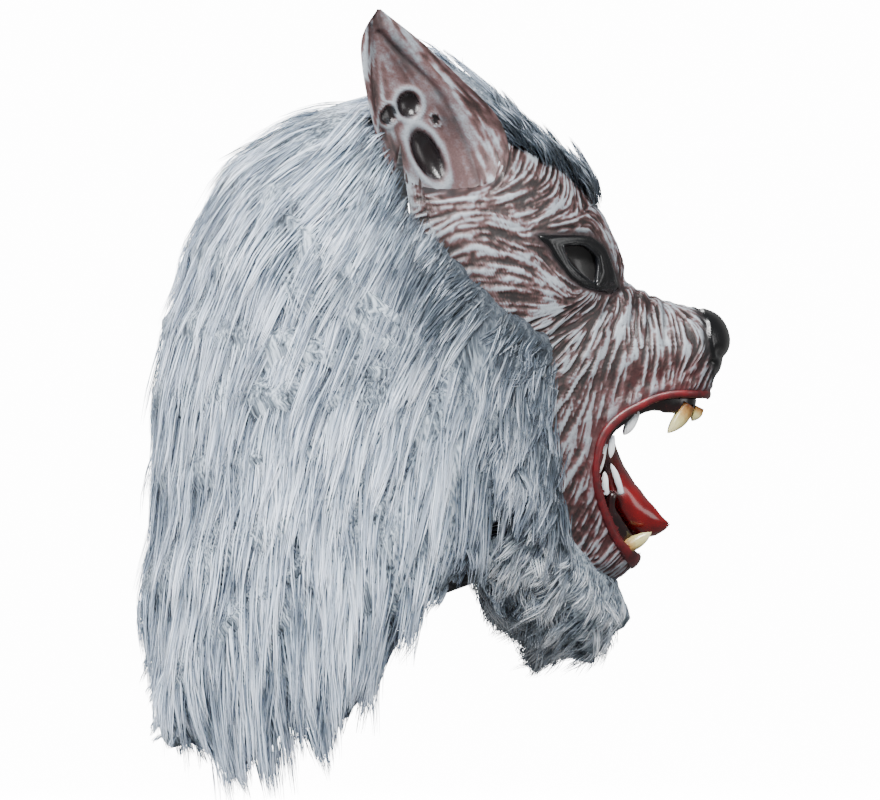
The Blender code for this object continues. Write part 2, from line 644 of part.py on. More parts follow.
def fur_patch(name, table, depth, seat):
    """A strip of pile over the middle plane: columns from the first to the last row of its table."""
    names = [row[0] for row in HEAD_ROWS]
    first = names.index(table[0][0]) * COLUMNS_PER_ROW
    rows = np.array([row[1:] for row in table])
    count = (len(rows) - 1) * COLUMNS_PER_ROW + 1
    marks = np.linspace(0, len(rows) - 1, count)
    columns = np.array([[np.interp(m, range(len(rows)), rows[:, c]) for c in range(rows.shape[1])]
                        for m in marks])
    turns = [list(np.linspace(column[0], 90.0, PATCH_STEPS)) for column in columns]
    points, normals = head_surface_turns(turns, first)
    inner = points + normals * seat
    outer = inner.copy()
    for i, (start, side, middle, edge, drop, back) in enumerate(columns):
        lock = 1.0 + LOCK_RELIEF * (1.0 if i % 2 == 0 else -1.0)
        for j in range(PATCH_STEPS):
            across = j / (PATCH_STEPS - 1)
            share = np.interp(across, (0.0, 0.5, 1.0), (side, middle, edge))
            v = i * PATCH_STEPS + j
            outer[v] += normals[v] * share * depth * lock
            fall = drop * (1.0 if i % 2 == 0 else SHORT_LOCK)
            outer[v] += np.array([-back, 0.0, -fall]) * depth * across ** 2
    closed = np.abs(points[:, 1]) < 1e-7
    inner[closed, 1] = 0.0
    outer[closed, 1] = 0.0
    outer[:, 1] = np.minimum(outer[:, 1], 0.0)
    total = len(inner)
    faces = []
    for i in range(count - 1):
        for j in range(PATCH_STEPS - 1):
            a, b = i * PATCH_STEPS + j, (i + 1) * PATCH_STEPS + j
            faces.append((a, a + 1, b + 1, b))
            faces.append((a + total, b + total, b + 1 + total, a + 1 + total))
        a, b = i * PATCH_STEPS, (i + 1) * PATCH_STEPS
        faces.append((a, b, b + total, a + total))
        a, b = a + PATCH_STEPS - 1, b + PATCH_STEPS - 1
        if not (closed[a] and closed[b]):
            faces.append((b, a, a + total, b + total))
    for j in range(PATCH_STEPS - 1):
        for column, turn_round in ((0, False), (count - 1, True)):
            a = column * PATCH_STEPS + j
            face = (a + 1, a, a + total, a + 1 + total)
            faces.append(tuple(reversed(face)) if turn_round else face)
    return mirrored_mesh(name, np.vstack([inner, outer]), faces)


fur_hood = add_part("fur_hood", fur_solid("fur_hood", FUR_ROWS, FUR_DEPTH, FUR_POLE), long_fur)
for room in ear_rooms:
    combine(fur_hood, room, "DIFFERENCE")
head_room = add_cutter("head_room", inset_head("head_room", -PIECE_GAP, 2.0 * CLOTH_WALL))
crest_fur = add_part("crest_fur", fur_patch("crest_fur", CREST_ROWS, CREST_DEPTH, -LATEX_WALL), crest_pile)
beard_fur = add_part("beard_fur", fur_patch("beard_fur", BEARD_ROWS, BEARD_DEPTH, -CLOTH_WALL), beard_pile)
for strip in (crest_fur, beard_fur):
    combine(strip, head_room, "DIFFERENCE")
for room in ear_rooms:
    combine(crest_fur, room, "DIFFERENCE")

# Mouth pieces. Each gum is a rod of latex just inside its lip, from the corner round the front and back.
UPPER_GUM_PATH = [
    (0.530, -0.131), (0.565, -0.089), (0.619, -0.054), (0.677, -0.029), (0.735, -0.006), (0.805, 0.000),
    (0.851, -0.003), (0.890, -0.003),
]
LOWER_GUM_PATH = [
    (0.573, -0.300), (0.557, -0.329), (0.549, -0.367), (0.561, -0.419), (0.592, -0.463), (0.625, -0.486),
]
GUM_SINK = LATEX_WALL + GUM_RADIUS + 2.0 * PIECE_GAP
# The whole head surface, unthickened and uncut, on which side points find their width.
side_faces = [tuple(reversed(face)) for face in head_faces]
side_tree = BVHTree.FromPolygons([tuple(v) for v in head_vertices], side_faces)


def inside_point(forward, up, depth):
    """The point depth below the right side of the head surface, at a side point."""
    x, z = share_point(forward, up)
    place, normal, _, _ = side_tree.ray_cast(Vector((x, -3.0 * HALF_WIDTH, z)), Vector((0.0, 1.0, 0.0)))
    if normal.y > 0.0:
        normal = -normal
    return Vector(place) - Vector(normal) * depth


def gum_line(path, front_row):
    """The middle line of a gum, from the right corner of the mouth round the front to the left corner."""
    right = [inside_point(forward, up, GUM_SINK) for forward, up in path]
    names = [row[0] for row in HEAD_ROWS]
    forward, up = HEAD_ROWS[names.index(front_row)][1:3]
    x, z = share_point(forward, up)
    middle = Vector((x - GUM_SINK - GUM_RADIUS, 0.0, 0.5 * (z + right[-1].z)))
    return right + [middle] + [Vector((p.x, -p.y, p.z)) for p in reversed(right)]


def rod_mesh(name, points, radius):
    data = bpy.data.curves.new(name, "CURVE")
    data.dimensions = "3D"
    data.bevel_depth = radius
    data.bevel_resolution = 2
    data.use_fill_caps = True
    spline = data.splines.new("POLY")
    spline.points.add(len(points) - 1)
    for point, place in zip(spline.points, points):
        point.co = (*place, 1.0)
    curve = bpy.data.objects.new(name + "_curve", data)
    mask_parts.objects.link(curve)
    mesh = bpy.data.meshes.new_from_object(curve.evaluated_get(bpy.context.evaluated_depsgraph_get()))
    bpy.data.objects.remove(curve, do_unlink=True)
    shape = bmesh.new()
    shape.from_mesh(mesh)
    bmesh.ops.remove_doubles(shape, verts=shape.verts, dist=1e-6)
    bmesh.ops.recalc_face_normals(shape, faces=shape.faces)
    shape.to_mesh(mesh)
    shape.free()
    mesh.name = name
    return mesh


gum_lines = {}
gum_rooms = {}
for jaw, path, front_row in (("upper", UPPER_GUM_PATH, "lip_front"), ("lower", LOWER_GUM_PATH, "lower_lip")):
    line = gum_line(path, front_row)
    gum_lines[jaw] = line
    add_part(jaw + "_gum", rod_mesh(jaw + "_gum", line, GUM_RADIUS), gum_latex)
    room_mesh = rod_mesh(jaw + "_gum_room", line, GUM_RADIUS + PIECE_GAP)
    gum_rooms[jaw] = add_cutter(jaw + "_gum_room", room_mesh)

# Teeth: each a curved peg rooted on its gum. length and girth are shares of the named tooth sizes, and the
# tip's forward and up shares say which way it points.
TEETH = [
    # name, jaw, root forward, root up, tip forward, tip up, full length, full radius
    ("upper_canine", "upper", 0.838, -0.002, 0.769, -0.103, CANINE_LENGTH, CANINE_RADIUS),
    ("upper_incisor", "upper", 0.884, -0.003, 0.862, -0.063, 0.40 * CANINE_LENGTH, 0.75 * CANINE_RADIUS),
    ("cheek_tooth_front", "upper", 0.634, -0.048, 0.596, -0.109, 0.66 * TOOTH_LENGTH, TOOTH_RADIUS),
    ("cheek_tooth_mid", "upper", 0.553, -0.103, 0.541, -0.182, 0.64 * TOOTH_LENGTH, TOOTH_RADIUS),
    ("cheek_tooth_rear", "upper", 0.534, -0.126, 0.499, -0.232, TOOTH_LENGTH, TOOTH_RADIUS),
    ("lower_tooth_front", "lower", 0.573, -0.300, 0.540, -0.208, 0.86 * TOOTH_LENGTH, TOOTH_RADIUS),
    ("lower_tooth_rear", "lower", 0.557, -0.329, 0.519, -0.232, 0.80 * TOOTH_LENGTH, TOOTH_RADIUS),
    ("lower_canine", "lower", 0.597, -0.466, 0.697, -0.424, 0.86 * CANINE_LENGTH, CANINE_RADIUS),
]
PEG_RINGS = ((0.00, 0.86), (0.18, 1.00), (0.50, 0.82), (0.80, 0.46), (1.00, 0.12))
PEG_SIDES = 8
PEG_BOW = 0.10


def peg_mesh(name, root, towards, length, radius):
    """A tooth: rings along a slightly bowed line from its root on the gum towards its tip."""
    line = (towards - root).normalized()
    across = line.cross(Vector((0.0, 1.0, 0.0))).normalized()
    start = root + line * (0.5 * GUM_RADIUS)
    shape = bmesh.new()
    rings = []
    for along, girth in PEG_RINGS:
        centre = start + line * (along * length) + across * (PEG_BOW * length * sin(pi * along))
        ring = []
        for k in range(PEG_SIDES):
            angle = 2.0 * pi * k / PEG_SIDES
            spoke = across * cos(angle) + Vector((0.0, 0.85, 0.0)) * sin(angle)
            ring.append(shape.verts.new(centre + spoke * (girth * radius)))
        rings.append(ring)
    for low, high in zip(rings, rings[1:]):
        for k in range(PEG_SIDES):
            shape.faces.new((low[k], low[(k + 1) % PEG_SIDES], high[(k + 1) % PEG_SIDES], high[k]))
    shape.faces.new(list(reversed(rings[0])))
    shape.faces.new(rings[-1])
    bmesh.ops.recalc_face_normals(shape, faces=shape.faces)
    mesh = bpy.data.meshes.new(name)
    shape.to_mesh(mesh)
    shape.free()
    return mesh


for tooth, jaw, root_f, root_u, tip_f, tip_u, length, radius in TEETH:
    root = inside_point(root_f, root_u, GUM_SINK)
    tip_x, tip_z = share_point(tip_f, tip_u)
    tip = Vector((tip_x, root.y, tip_z))
    right_mesh = peg_mesh(tooth + "_right", root, tip, length, radius)
    left_mesh = mirror_across(right_mesh, tooth + "_left")
    for side, peg_side in (("_right", right_mesh), ("_left", left_mesh)):
        combine(add_part(tooth + side, peg_side, tooth_resin), gum_rooms[jaw], "DIFFERENCE")

# Tongue: oval sections down a bent path. Its widest section reaches TONGUE_REST into the lower gums, and
# is cut back to a gap's width from them.
TONGUE_ROWS = [
    # forward, up, thickness, width
    (0.487, -0.128, 1.00, 0.70),
    (0.518, -0.211, 1.05, 0.86),
    (0.557, -0.288, 1.12, 1.00),
    (0.611, -0.345, 1.00, 0.78),
    (0.669, -0.380, 0.72, 0.54),
    (0.720, -0.398, 0.46, 0.38),
    (0.758, -0.396, 0.14, 0.12),
]
TONGUE_SIDES = 12
TONGUE_GUM_POINT = 1
tongue_half_width = TONGUE_REST - GUM_RADIUS - gum_lines["lower"][TONGUE_GUM_POINT].y


def tongue_mesh():
    centres = [Vector((share_point(row[0], row[1])[0], 0.0, share_point(row[0], row[1])[1]))
               for row in TONGUE_ROWS]
    shape = bmesh.new()
    rings = []
    for i, row in enumerate(TONGUE_ROWS):
        before = centres[max(i - 1, 0)]
        after = centres[min(i + 1, len(centres) - 1)]
        line = (after - before).normalized()
        over = Vector((0.0, 1.0, 0.0)).cross(line).normalized()
        ring = []
        for k in range(TONGUE_SIDES):
            angle = 2.0 * pi * k / TONGUE_SIDES
            spoke = over * (cos(angle) * 0.5 * row[2] * TONGUE_THICKNESS)
            spoke += Vector((0.0, 1.0, 0.0)) * (sin(angle) * row[3] * tongue_half_width)
            ring.append(shape.verts.new(centres[i] + spoke))
        rings.append(ring)
    for low, high in zip(rings, rings[1:]):
        for k in range(TONGUE_SIDES):
            shape.faces.new((low[k], low[(k + 1) % TONGUE_SIDES], high[(k + 1) % TONGUE_SIDES], high[k]))
    shape.faces.new(list(reversed(rings[0])))
    shape.faces.new(rings[-1])
    bmesh.ops.recalc_face_normals(shape, faces=shape.faces)
    mesh = bpy.data.meshes.new("tongue")
    shape.to_mesh(mesh)
    shape.free()
    return mesh


tongue = add_part("tongue", tongue_mesh(), tongue_latex)
combine(tongue, gum_rooms["lower"], "DIFFERENCE")
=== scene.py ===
import bpy
import bmesh
import numpy as np
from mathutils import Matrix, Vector
from mathutils.bvhtree import BVHTree


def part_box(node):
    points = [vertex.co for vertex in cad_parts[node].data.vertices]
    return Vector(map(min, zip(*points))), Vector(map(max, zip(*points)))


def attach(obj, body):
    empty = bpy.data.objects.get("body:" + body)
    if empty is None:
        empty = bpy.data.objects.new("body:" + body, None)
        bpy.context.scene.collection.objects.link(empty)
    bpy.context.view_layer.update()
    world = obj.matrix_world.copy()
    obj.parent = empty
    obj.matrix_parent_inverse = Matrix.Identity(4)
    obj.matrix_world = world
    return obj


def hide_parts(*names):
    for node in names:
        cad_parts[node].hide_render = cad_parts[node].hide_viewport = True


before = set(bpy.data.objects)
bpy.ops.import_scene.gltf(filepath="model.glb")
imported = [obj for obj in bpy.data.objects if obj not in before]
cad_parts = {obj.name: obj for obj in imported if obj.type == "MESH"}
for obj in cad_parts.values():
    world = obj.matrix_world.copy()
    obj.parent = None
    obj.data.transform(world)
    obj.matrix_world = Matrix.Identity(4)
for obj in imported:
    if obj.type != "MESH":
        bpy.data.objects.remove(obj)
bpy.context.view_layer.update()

# Latex face, the casting from chin to crown. Slush-moulded latex about 2.5 mm thick, so one hollow skin with
# the fur grooves of its mould all over it. A right and a left half meet on the middle line of the mould.
MUZZLE_REACH = 0.168
CROWN_RISE = 0.2035
HALF_WIDTH = 0.080
LATEX_WALL = 0.0025
POLE_X = 0.1726 * MUZZLE_REACH
POLE_Z = LATEX_WALL - CROWN_RISE
# The side drawing of the mask has squares of 0.65 mm, counted right and down from its upper left corner.
SQUARE = 0.00065
ORIGIN_RIGHT = 425.0
ORIGIN_DOWN = 90.0
POLE_RIGHT = 470.0
POLE_DOWN = 400.0
REACH_SQUARES = 258.5
RISE_SQUARES = 313.0
HEAD_TABLE = [
    # name, forward, up, w20, w35, w50, w65, w78, edge
    ("front_hem", 0.116, -0.559, 0.99, 0.95, 0.87, 0.69, 0.35, 0.00),
    ("throat", 0.290, -0.607, 0.96, 0.89, 0.75, 0.52, 0.25, 0.00),
    ("chin_back", 0.456, -0.588, 0.92, 0.78, 0.58, 0.40, 0.19, 0.00),
    ("chin", 0.565, -0.575, 0.90, 0.70, 0.50, 0.34, 0.16, 0.00),
    ("lower_lip", 0.646, -0.511, 0.88, 0.66, 0.46, 0.31, 0.15, 0.00),
    ("mouth_low", 0.754, -0.367, 0.84, 0.62, 0.45, 0.32, 0.16, 0.00),
    ("mouth_high", 0.870, -0.160, 0.80, 0.56, 0.43, 0.33, 0.18, 0.00),
    ("lip_front", 0.921, 0.006, 0.79, 0.53, 0.41, 0.34, 0.20, 0.00),
    ("lip_top", 0.940, 0.048, 0.78, 0.52, 0.41, 0.35, 0.21, 0.00),
    ("nose_under", 0.963, 0.102, 0.77, 0.51, 0.41, 0.35, 0.22, 0.00),
    ("nose_tip", 1.000, 0.185, 0.75, 0.50, 0.41, 0.34, 0.21, 0.00),
    ("nose_top", 0.967, 0.256, 0.75, 0.51, 0.40, 0.32, 0.20, 0.00),
    ("nose_bridge", 0.890, 0.288, 0.78, 0.54, 0.40, 0.30, 0.19, 0.00),
    ("bridge", 0.754, 0.313, 0.81, 0.61, 0.44, 0.31, 0.19, 0.00),
    ("bridge_rear", 0.662, 0.345, 0.85, 0.67, 0.49, 0.31, 0.175, 0.00),
    ("stop", 0.600, 0.380, 0.86, 0.71, 0.54, 0.35, 0.19, 0.00),
    ("between_eyes", 0.596, 0.441, 0.88, 0.74, 0.58, 0.40, 0.21, 0.00),
    ("brow", 0.553, 0.527, 0.89, 0.78, 0.65, 0.47, 0.25, 0.00),
    ("forehead_low", 0.495, 0.604, 0.91, 0.83, 0.71, 0.54, 0.29, 0.00),
    ("forehead", 0.368, 0.760, 0.95, 0.90, 0.80, 0.60, 0.32, 0.00),
    ("forehead_high", 0.174, 0.900, 0.99, 0.96, 0.86, 0.65, 0.35, 0.00),
    ("crown_front", -0.020, 0.978, 1.00, 1.00, 0.91, 0.70, 0.375, 0.00),
    ("crown", -0.193, 1.000, 1.01, 1.01, 0.94, 0.72, 0.39, 0.00),
    ("crown_rear", -0.406, 0.928, 1.01, 1.02, 0.95, 0.72, 0.39, 0.00),
    ("back_high", -0.600, 0.863, 1.02, 1.02, 0.95, 0.74, 0.39, 0.00),
    ("back", -0.743, 0.671, 1.02, 1.02, 0.95, 0.74, 0.39, 0.00),
    ("back_mid", -0.789, 0.447, 1.02, 1.02, 0.94, 0.71, 0.375, 0.00),
    ("nape_high", -0.789, 0.224, 1.01, 1.00, 0.91, 0.69, 0.36, 0.00),
    ("nape", -0.805, 0.000, 1.00, 0.99, 0.89, 0.66, 0.35, 0.00),
    ("nape_low", -0.836, -0.256, 1.00, 0.98, 0.875, 0.65, 0.34, 0.00),
    ("neck_back", -0.890, -0.575, 1.00, 0.975, 0.875, 0.65, 0.34, 0.00),
    ("rear_hem", -0.986, -0.863, 1.00, 0.985, 0.90, 0.68, 0.36, 0.00),
    ("hem_rear", -0.834, -0.821, 1.00, 1.00, 0.975, 0.91, 0.80, 0.70),
    ("hem_side", -0.511, -0.732, 1.00, 1.00, 1.00, 1.00, 1.00, 0.99),
    ("hem_front", -0.210, -0.648, 1.00, 1.00, 0.99, 0.975, 0.94, 0.91),
    ("hem_fore", 0.000, -0.591, 1.00, 0.99, 0.94, 0.83, 0.69, 0.61),
]
HEAD_ROWS = np.array([row[1:] for row in HEAD_TABLE])
TURN_STATIONS = np.array([0.0, 20.0, 35.0, 50.0, 65.0, 78.0, 90.0])
FACE_SEAM = [
    (-0.271, 1.120), (-0.263, 0.799), (-0.228, 0.575), (-0.077, 0.466), (0.000, 0.383), (0.097, 0.3035),
    (0.236, 0.227), (0.298, 0.208), (0.3095, 0.006), (0.298, -0.128), (0.329, -0.214), (0.360, -0.361),
    (0.4255, -0.508), (0.456, -0.581), (0.464, -0.720),
]
FACE_FIRST_ROW = 1.95
FACE_LAST_ROW = 22.85
FACE_COLUMNS = 616
FACE_TURNS = 154
SEAM_TUCK = 2.0
# A ray that turns this far ends on the middle line of the mould.
MIDDLE_TURN = 89.9


def smooth_step(before, start, end, after, t):
    """Catmull-Rom value at t between start and end."""
    a = 2.0 * start
    b = end - before
    c = 2.0 * before - 5.0 * start + 4.0 * end - after
    d = -before + 3.0 * start - 3.0 * end + after
    return 0.5 * (a + b * t + c * t * t + d * t * t * t)


def head_row(place):
    """Values of the head's table at places counted in rows round the head."""
    low = np.floor(place).astype(int)
    picked = [HEAD_ROWS[(low + k) % len(HEAD_ROWS)] for k in (-1, 0, 1, 2)]
    values = smooth_step(*picked, (place - low)[:, None])
    closed = (picked[1][:, -1] == 0.0) & (picked[2][:, -1] == 0.0)
    values[closed, -1] = 0.0
    return values


def head_points(place, turn):
    """Right-hand points of the head's outer surface, on the rays at place, at their turns in degrees."""
    values = head_row(place)
    widths = np.hstack([np.ones((len(place), 1)), values[:, 2:]])
    padded = np.hstack([widths[:, 1:2], widths, 2.0 * widths[:, -1:] - widths[:, -2:-1]])
    low = np.clip(np.searchsorted(TURN_STATIONS, turn, side="right") - 1, 0, len(TURN_STATIONS) - 2)
    t = (turn - TURN_STATIONS[low]) / (TURN_STATIONS[low + 1] - TURN_STATIONS[low])
    rows = np.arange(len(place))
    width = smooth_step(*[padded[rows, low + k] for k in range(4)], t)
    share = np.sin(np.radians(turn))
    x = POLE_X + values[:, 0] * share * MUZZLE_REACH
    z = POLE_Z + values[:, 1] * share * CROWN_RISE
    return np.stack([x, -HALF_WIDTH * np.maximum(width, 0.0), z], axis=1)


def drawn(right, down):
    """Forward and up place in metres of a point of the side drawing."""
    return (right - ORIGIN_RIGHT) * SQUARE, (ORIGIN_DOWN - down) * SQUARE


def on_drawing(points):
    """Places on the side drawing of points in metres, as right and down."""
    return np.stack([points[..., 0] / SQUARE + ORIGIN_RIGHT, ORIGIN_DOWN - points[..., 2] / SQUARE], axis=-1)


dense_places = np.linspace(0.0, len(HEAD_ROWS), 3601)[:-1]
dense_rows = head_row(dense_places)
dense_angles = np.unwrap(np.arctan2(dense_rows[:, 1], dense_rows[:, 0]))
dense_reach = np.hypot(dense_rows[:, 0], dense_rows[:, 1])


def side_place(right, down):
    """Place round the head and turn, in degrees, of points of the side drawing."""
    forward = (np.asarray(right, dtype=float) - POLE_RIGHT) / REACH_SQUARES
    up = (POLE_DOWN - np.asarray(down, dtype=float)) / RISE_SQUARES
    angle = dense_angles[0] + (np.arctan2(up, forward) - dense_angles[0]) % (2.0 * np.pi)
    place = np.interp(angle, dense_angles, dense_places)
    reach = np.interp(angle, dense_angles, dense_reach)
    share = np.minimum(np.hypot(forward, up) / reach, 1.0)
    return place, np.degrees(np.arcsin(share))


def seam_turns(place):
    """The turns at which the ray at each place enters the face at the seam, and leaves it or ends."""
    rows = head_row(place)
    nearest = np.ones(len(place))
    furthest = np.zeros(len(place))
    for (f0, u0), (f1, u1) in zip(FACE_SEAM, FACE_SEAM[1:]):
        across = rows[:, 0] * (u1 - u0) - rows[:, 1] * (f1 - f0)
        along = (f0 * (u1 - u0) - u0 * (f1 - f0)) / across
        part_way = (f0 * rows[:, 1] - u0 * rows[:, 0]) / across
        hit = (along > 0.02) & (part_way >= 0.0) & (part_way <= 1.0)
        nearest = np.where(hit, np.minimum(nearest, along), nearest)
        furthest = np.where(hit, np.maximum(furthest, along), furthest)
    furthest = np.where(furthest > nearest + 1e-6, np.minimum(furthest, 1.0), 1.0)
    return np.degrees(np.arcsin(nearest)), np.degrees(np.arcsin(furthest))


def even_places(first, last, count):
    """Places along the head's side outline, evenly spaced by length."""
    fine = np.linspace(first, last, 2000)
    edge = head_points(fine, np.full(len(fine), 90.0))
    inner = head_points(fine, np.full(len(fine), 50.0))
    steps = np.linalg.norm(np.diff(edge, axis=0), axis=1) + np.linalg.norm(np.diff(inner, axis=0), axis=1)
    length = np.concatenate([[0.0], np.cumsum(steps)])
    return np.interp(np.linspace(0.0, length[-1], count), length, fine)


def grid_slopes(points):
    """Steps of a grid of points along its two directions, and its unit normals."""
    along = np.gradient(points, axis=0)
    across = np.gradient(points, axis=1)
    normal = np.cross(along, across)
    normal /= np.maximum(np.linalg.norm(normal, axis=2), 1e-12)[..., None]
    return along, across, normal


def lattice_noise(points, cell, seed):
    """Smooth noise from 0 to 1 on a lattice of cells of one size."""
    scaled = points / cell
    base = np.floor(scaled).astype(np.int64)
    part = scaled - base
    part = part * part * (3.0 - 2.0 * part)
    total = np.zeros(points.shape[:-1])
    for corner in range(8):
        step = np.array([corner & 1, (corner >> 1) & 1, (corner >> 2) & 1])
        place = base + step
        mixed = place[..., 0] * 73856093 ^ place[..., 1] * 19349663 ^ place[..., 2] * 83492791
        mixed = (mixed + seed * 2654435761) & 0xFFFFFFFF
        mixed = ((mixed ^ (mixed >> 15)) * 2246822519) & 0xFFFFFFFF
        mixed = ((mixed ^ (mixed >> 13)) * 3266489917) & 0xFFFFFFFF
        value = ((mixed ^ (mixed >> 16)) & 0xFFFF) / 65535.0
        weight = np.prod(np.where(step == 1, part, 1.0 - part), axis=-1)
        total += weight * value
    return total


def picked(grid, u, v):
    """Values of a grid between its points."""
    u = np.clip(u, 0.0, grid.shape[0] - 1.001)
    v = np.clip(v, 0.0, grid.shape[1] - 1.001)
    i, j = u.astype(int), v.astype(int)
    a, b = u - i, v - j
    low = grid[i, j] * (1 - b) + grid[i, j + 1] * b
    high = grid[i + 1, j] * (1 - b) + grid[i + 1, j + 1] * b
    return low * (1 - a) + high * a


def grain_angle(marks, table):
    """Angle of the sculpted hair at points of the side drawing, from rows of right, down and degrees."""
    table = np.array(table)
    doubled = np.radians(2.0 * table[:, 2])
    across, up = 0.0, 0.0
    for (right, down, _), angle in zip(table, doubled):
        weight = 1.0 / ((marks[..., 0] - right) ** 2 + (marks[..., 1] - down) ** 2 + 60.0) ** 1.5
        across = across + weight * np.cos(angle)
        up = up + weight * np.sin(angle)
    return 0.5 * np.arctan2(up, across)


def sculpted_grain(points, angle, cell, reach, seed):
    """Hair ridges as the mould has them: noise drawn out along the grain, about -2 to 2, on a grid."""
    along, across, normal = grid_slopes(points)
    want = np.stack([np.cos(angle), np.zeros_like(angle), np.sin(angle)], axis=-1)
    want = want - normal * np.sum(want * normal, axis=-1)[..., None]
    want /= np.maximum(np.linalg.norm(want, axis=-1), 0.05)[..., None]
    aa, cc = np.sum(along * along, axis=-1), np.sum(across * across, axis=-1)
    ac = np.sum(along * across, axis=-1)
    wa, wc = np.sum(want * along, axis=-1), np.sum(want * across, axis=-1)
    lean = np.maximum(aa * cc - ac * ac, 1e-14)
    step_u, step_v = (wa * cc - wc * ac) / lean, (wc * aa - wa * ac) / lean
    start_u, start_v = np.meshgrid(np.arange(points.shape[0]), np.arange(points.shape[1]), indexing="ij")
    noise = lattice_noise(points, cell, seed)
    total = noise.copy()
    stride = 0.5 * cell
    for way in (-1.0, 1.0):
        u, v = start_u.astype(float), start_v.astype(float)
        for _ in range(int(reach / stride)):
            first_u, first_v = picked(step_u, u, v), picked(step_v, u, v)
            u = u + way * stride * first_u
            v = v + way * stride * first_v
            total += picked(noise, u, v)
    total -= total.mean()
    return total / total.std()


def line_distance(marks, line, closed=False):
    """Distance of points of the drawing from a line of points, and the share of the way along it."""
    line = [np.array(p, dtype=float) for p in line]
    ends = line[1:] + line[:1] if closed else line[1:]
    best = np.full(marks.shape[:-1], 1e9)
    share = np.zeros(marks.shape[:-1])
    for k, (a, b) in enumerate(zip(line, ends)):
        span = b - a
        t = np.clip(((marks - a) @ span) / (span @ span), 0.0, 1.0)
        gap = np.linalg.norm(marks - (a + t[..., None] * span), axis=-1)
        share = np.where(gap < best, (k + t) / len(ends), share)
        best = np.minimum(gap, best)
    return best, share


def inside(marks, outline):
    """Whether points of the drawing lie inside a closed outline."""
    result = np.zeros(marks.shape[:-1], dtype=bool)
    for (x0, y0), (x1, y1) in zip(outline, outline[1:] + outline[:1]):
        if y0 == y1:
            continue
        crossing = (y0 > marks[..., 1]) != (y1 > marks[..., 1])
        result ^= crossing & (marks[..., 0] < x0 + (marks[..., 1] - y0) / (y1 - y0) * (x1 - x0))
    return result


def signed_distance(marks, outline):
    """Distance from a closed outline of the drawing, less than 0 inside it."""
    gap, _ = line_distance(marks, outline, closed=True)
    return np.where(inside(marks, outline), -gap, gap)


def eased(value, low, high):
    """0 below low, 1 above high, and a smooth rise between them."""
    t = np.clip((value - low) / (high - low), 0.0, 1.0)
    return t * t * (3.0 - 2.0 * t)


def mound(marks, right, down, half_along, half_across, lean=0.0):
    """A round swelling on the drawing, 1 at its middle."""
    x, y = marks[..., 0] - right, marks[..., 1] - down
    c, s = np.cos(np.radians(lean)), np.sin(np.radians(lean))
    a, b = x * c - y * s, x * s + y * c
    return np.exp(-(a / half_along) ** 2 - (b / half_across) ** 2)


# Where the sculpted hair runs: right and down on the drawing, and degrees up from forwards.
GRAIN = [
    (500, 150, 78), (498, 172, 55), (520, 160, 62), (540, 172, 56), (522, 190, 32), (512, 203, 15),
    (540, 202, 26), (560, 188, 58), (580, 203, 55), (592, 216, 12), (604, 224, -32), (500, 226, -18),
    (462, 214, 14), (447, 228, 34), (472, 226, 2), (440, 203, 6), (440, 242, 38), (482, 236, -6),
    (500, 244, -22), (545, 211, 27), (560, 228, 14), (612, 240, -45), (619, 264, -70), (520, 262, -14),
    (500, 272, -4), (532, 300, -8), (560, 291, -30), (545, 270, -42), (540, 330, 20), (562, 321, 25),
    (585, 305, 18), (602, 304, 52), (626, 302, 80), (600, 342, 66), (640, 340, 92), (660, 330, 94),
    (562, 370, 45), (580, 360, 55), (556, 401, 50), (576, 420, 65), (600, 400, 74), (592, 432, 80),
    (690, 372, 62), (702, 365, 50), (682, 330, 98), (695, 322, 130), (668, 375, 80), (640, 380, 84),
    (615, 385, 76), (556, 430, 52), (560, 462, 56), (581, 480, 70), (571, 500, 65), (586, 542, 60),
    (602, 562, 40), (622, 561, 25), (598, 520, 66), (588, 580, 45),
]
# Wrinkles and folds: half width in squares, height in millimetres, and the line on the drawing.
FOLDS = [
    (3.4, 1.7, [(629, 284), (627, 300), (622, 322)]),
    (3.6, 1.9, [(643, 290), (642, 306), (638, 334)]),
    (3.6, 1.6, [(655, 296), (656, 316), (654, 346)]),
    (3.4, 1.1, [(669, 300), (671, 320), (670, 350)]),
    (2.0, -1.5, [(636, 290), (634, 305), (629, 326)]),
    (1.9, -1.3, [(649, 296), (649, 312), (646, 338)]),
    (1.9, -1.0, [(662, 302), (664, 320), (662, 346)]),
    (2.4, -1.9, [(626, 285), (616, 294), (606, 306), (600, 318)]),
    (4.5, 1.3, [(618, 300), (608, 316), (600, 340), (590, 372)]),
    (2.6, -1.0, [(536, 236), (524, 232), (508, 228)]),
    (5.0, 1.4, [(540, 228), (560, 224), (584, 225), (604, 236), (618, 258)]),
    (6.0, 1.5, [(704, 386), (684, 384), (660, 388), (640, 396), (622, 406), (606, 418)]),
    (5.0, 1.2, [(586, 440), (582, 470), (588, 505), (600, 535)]),
]
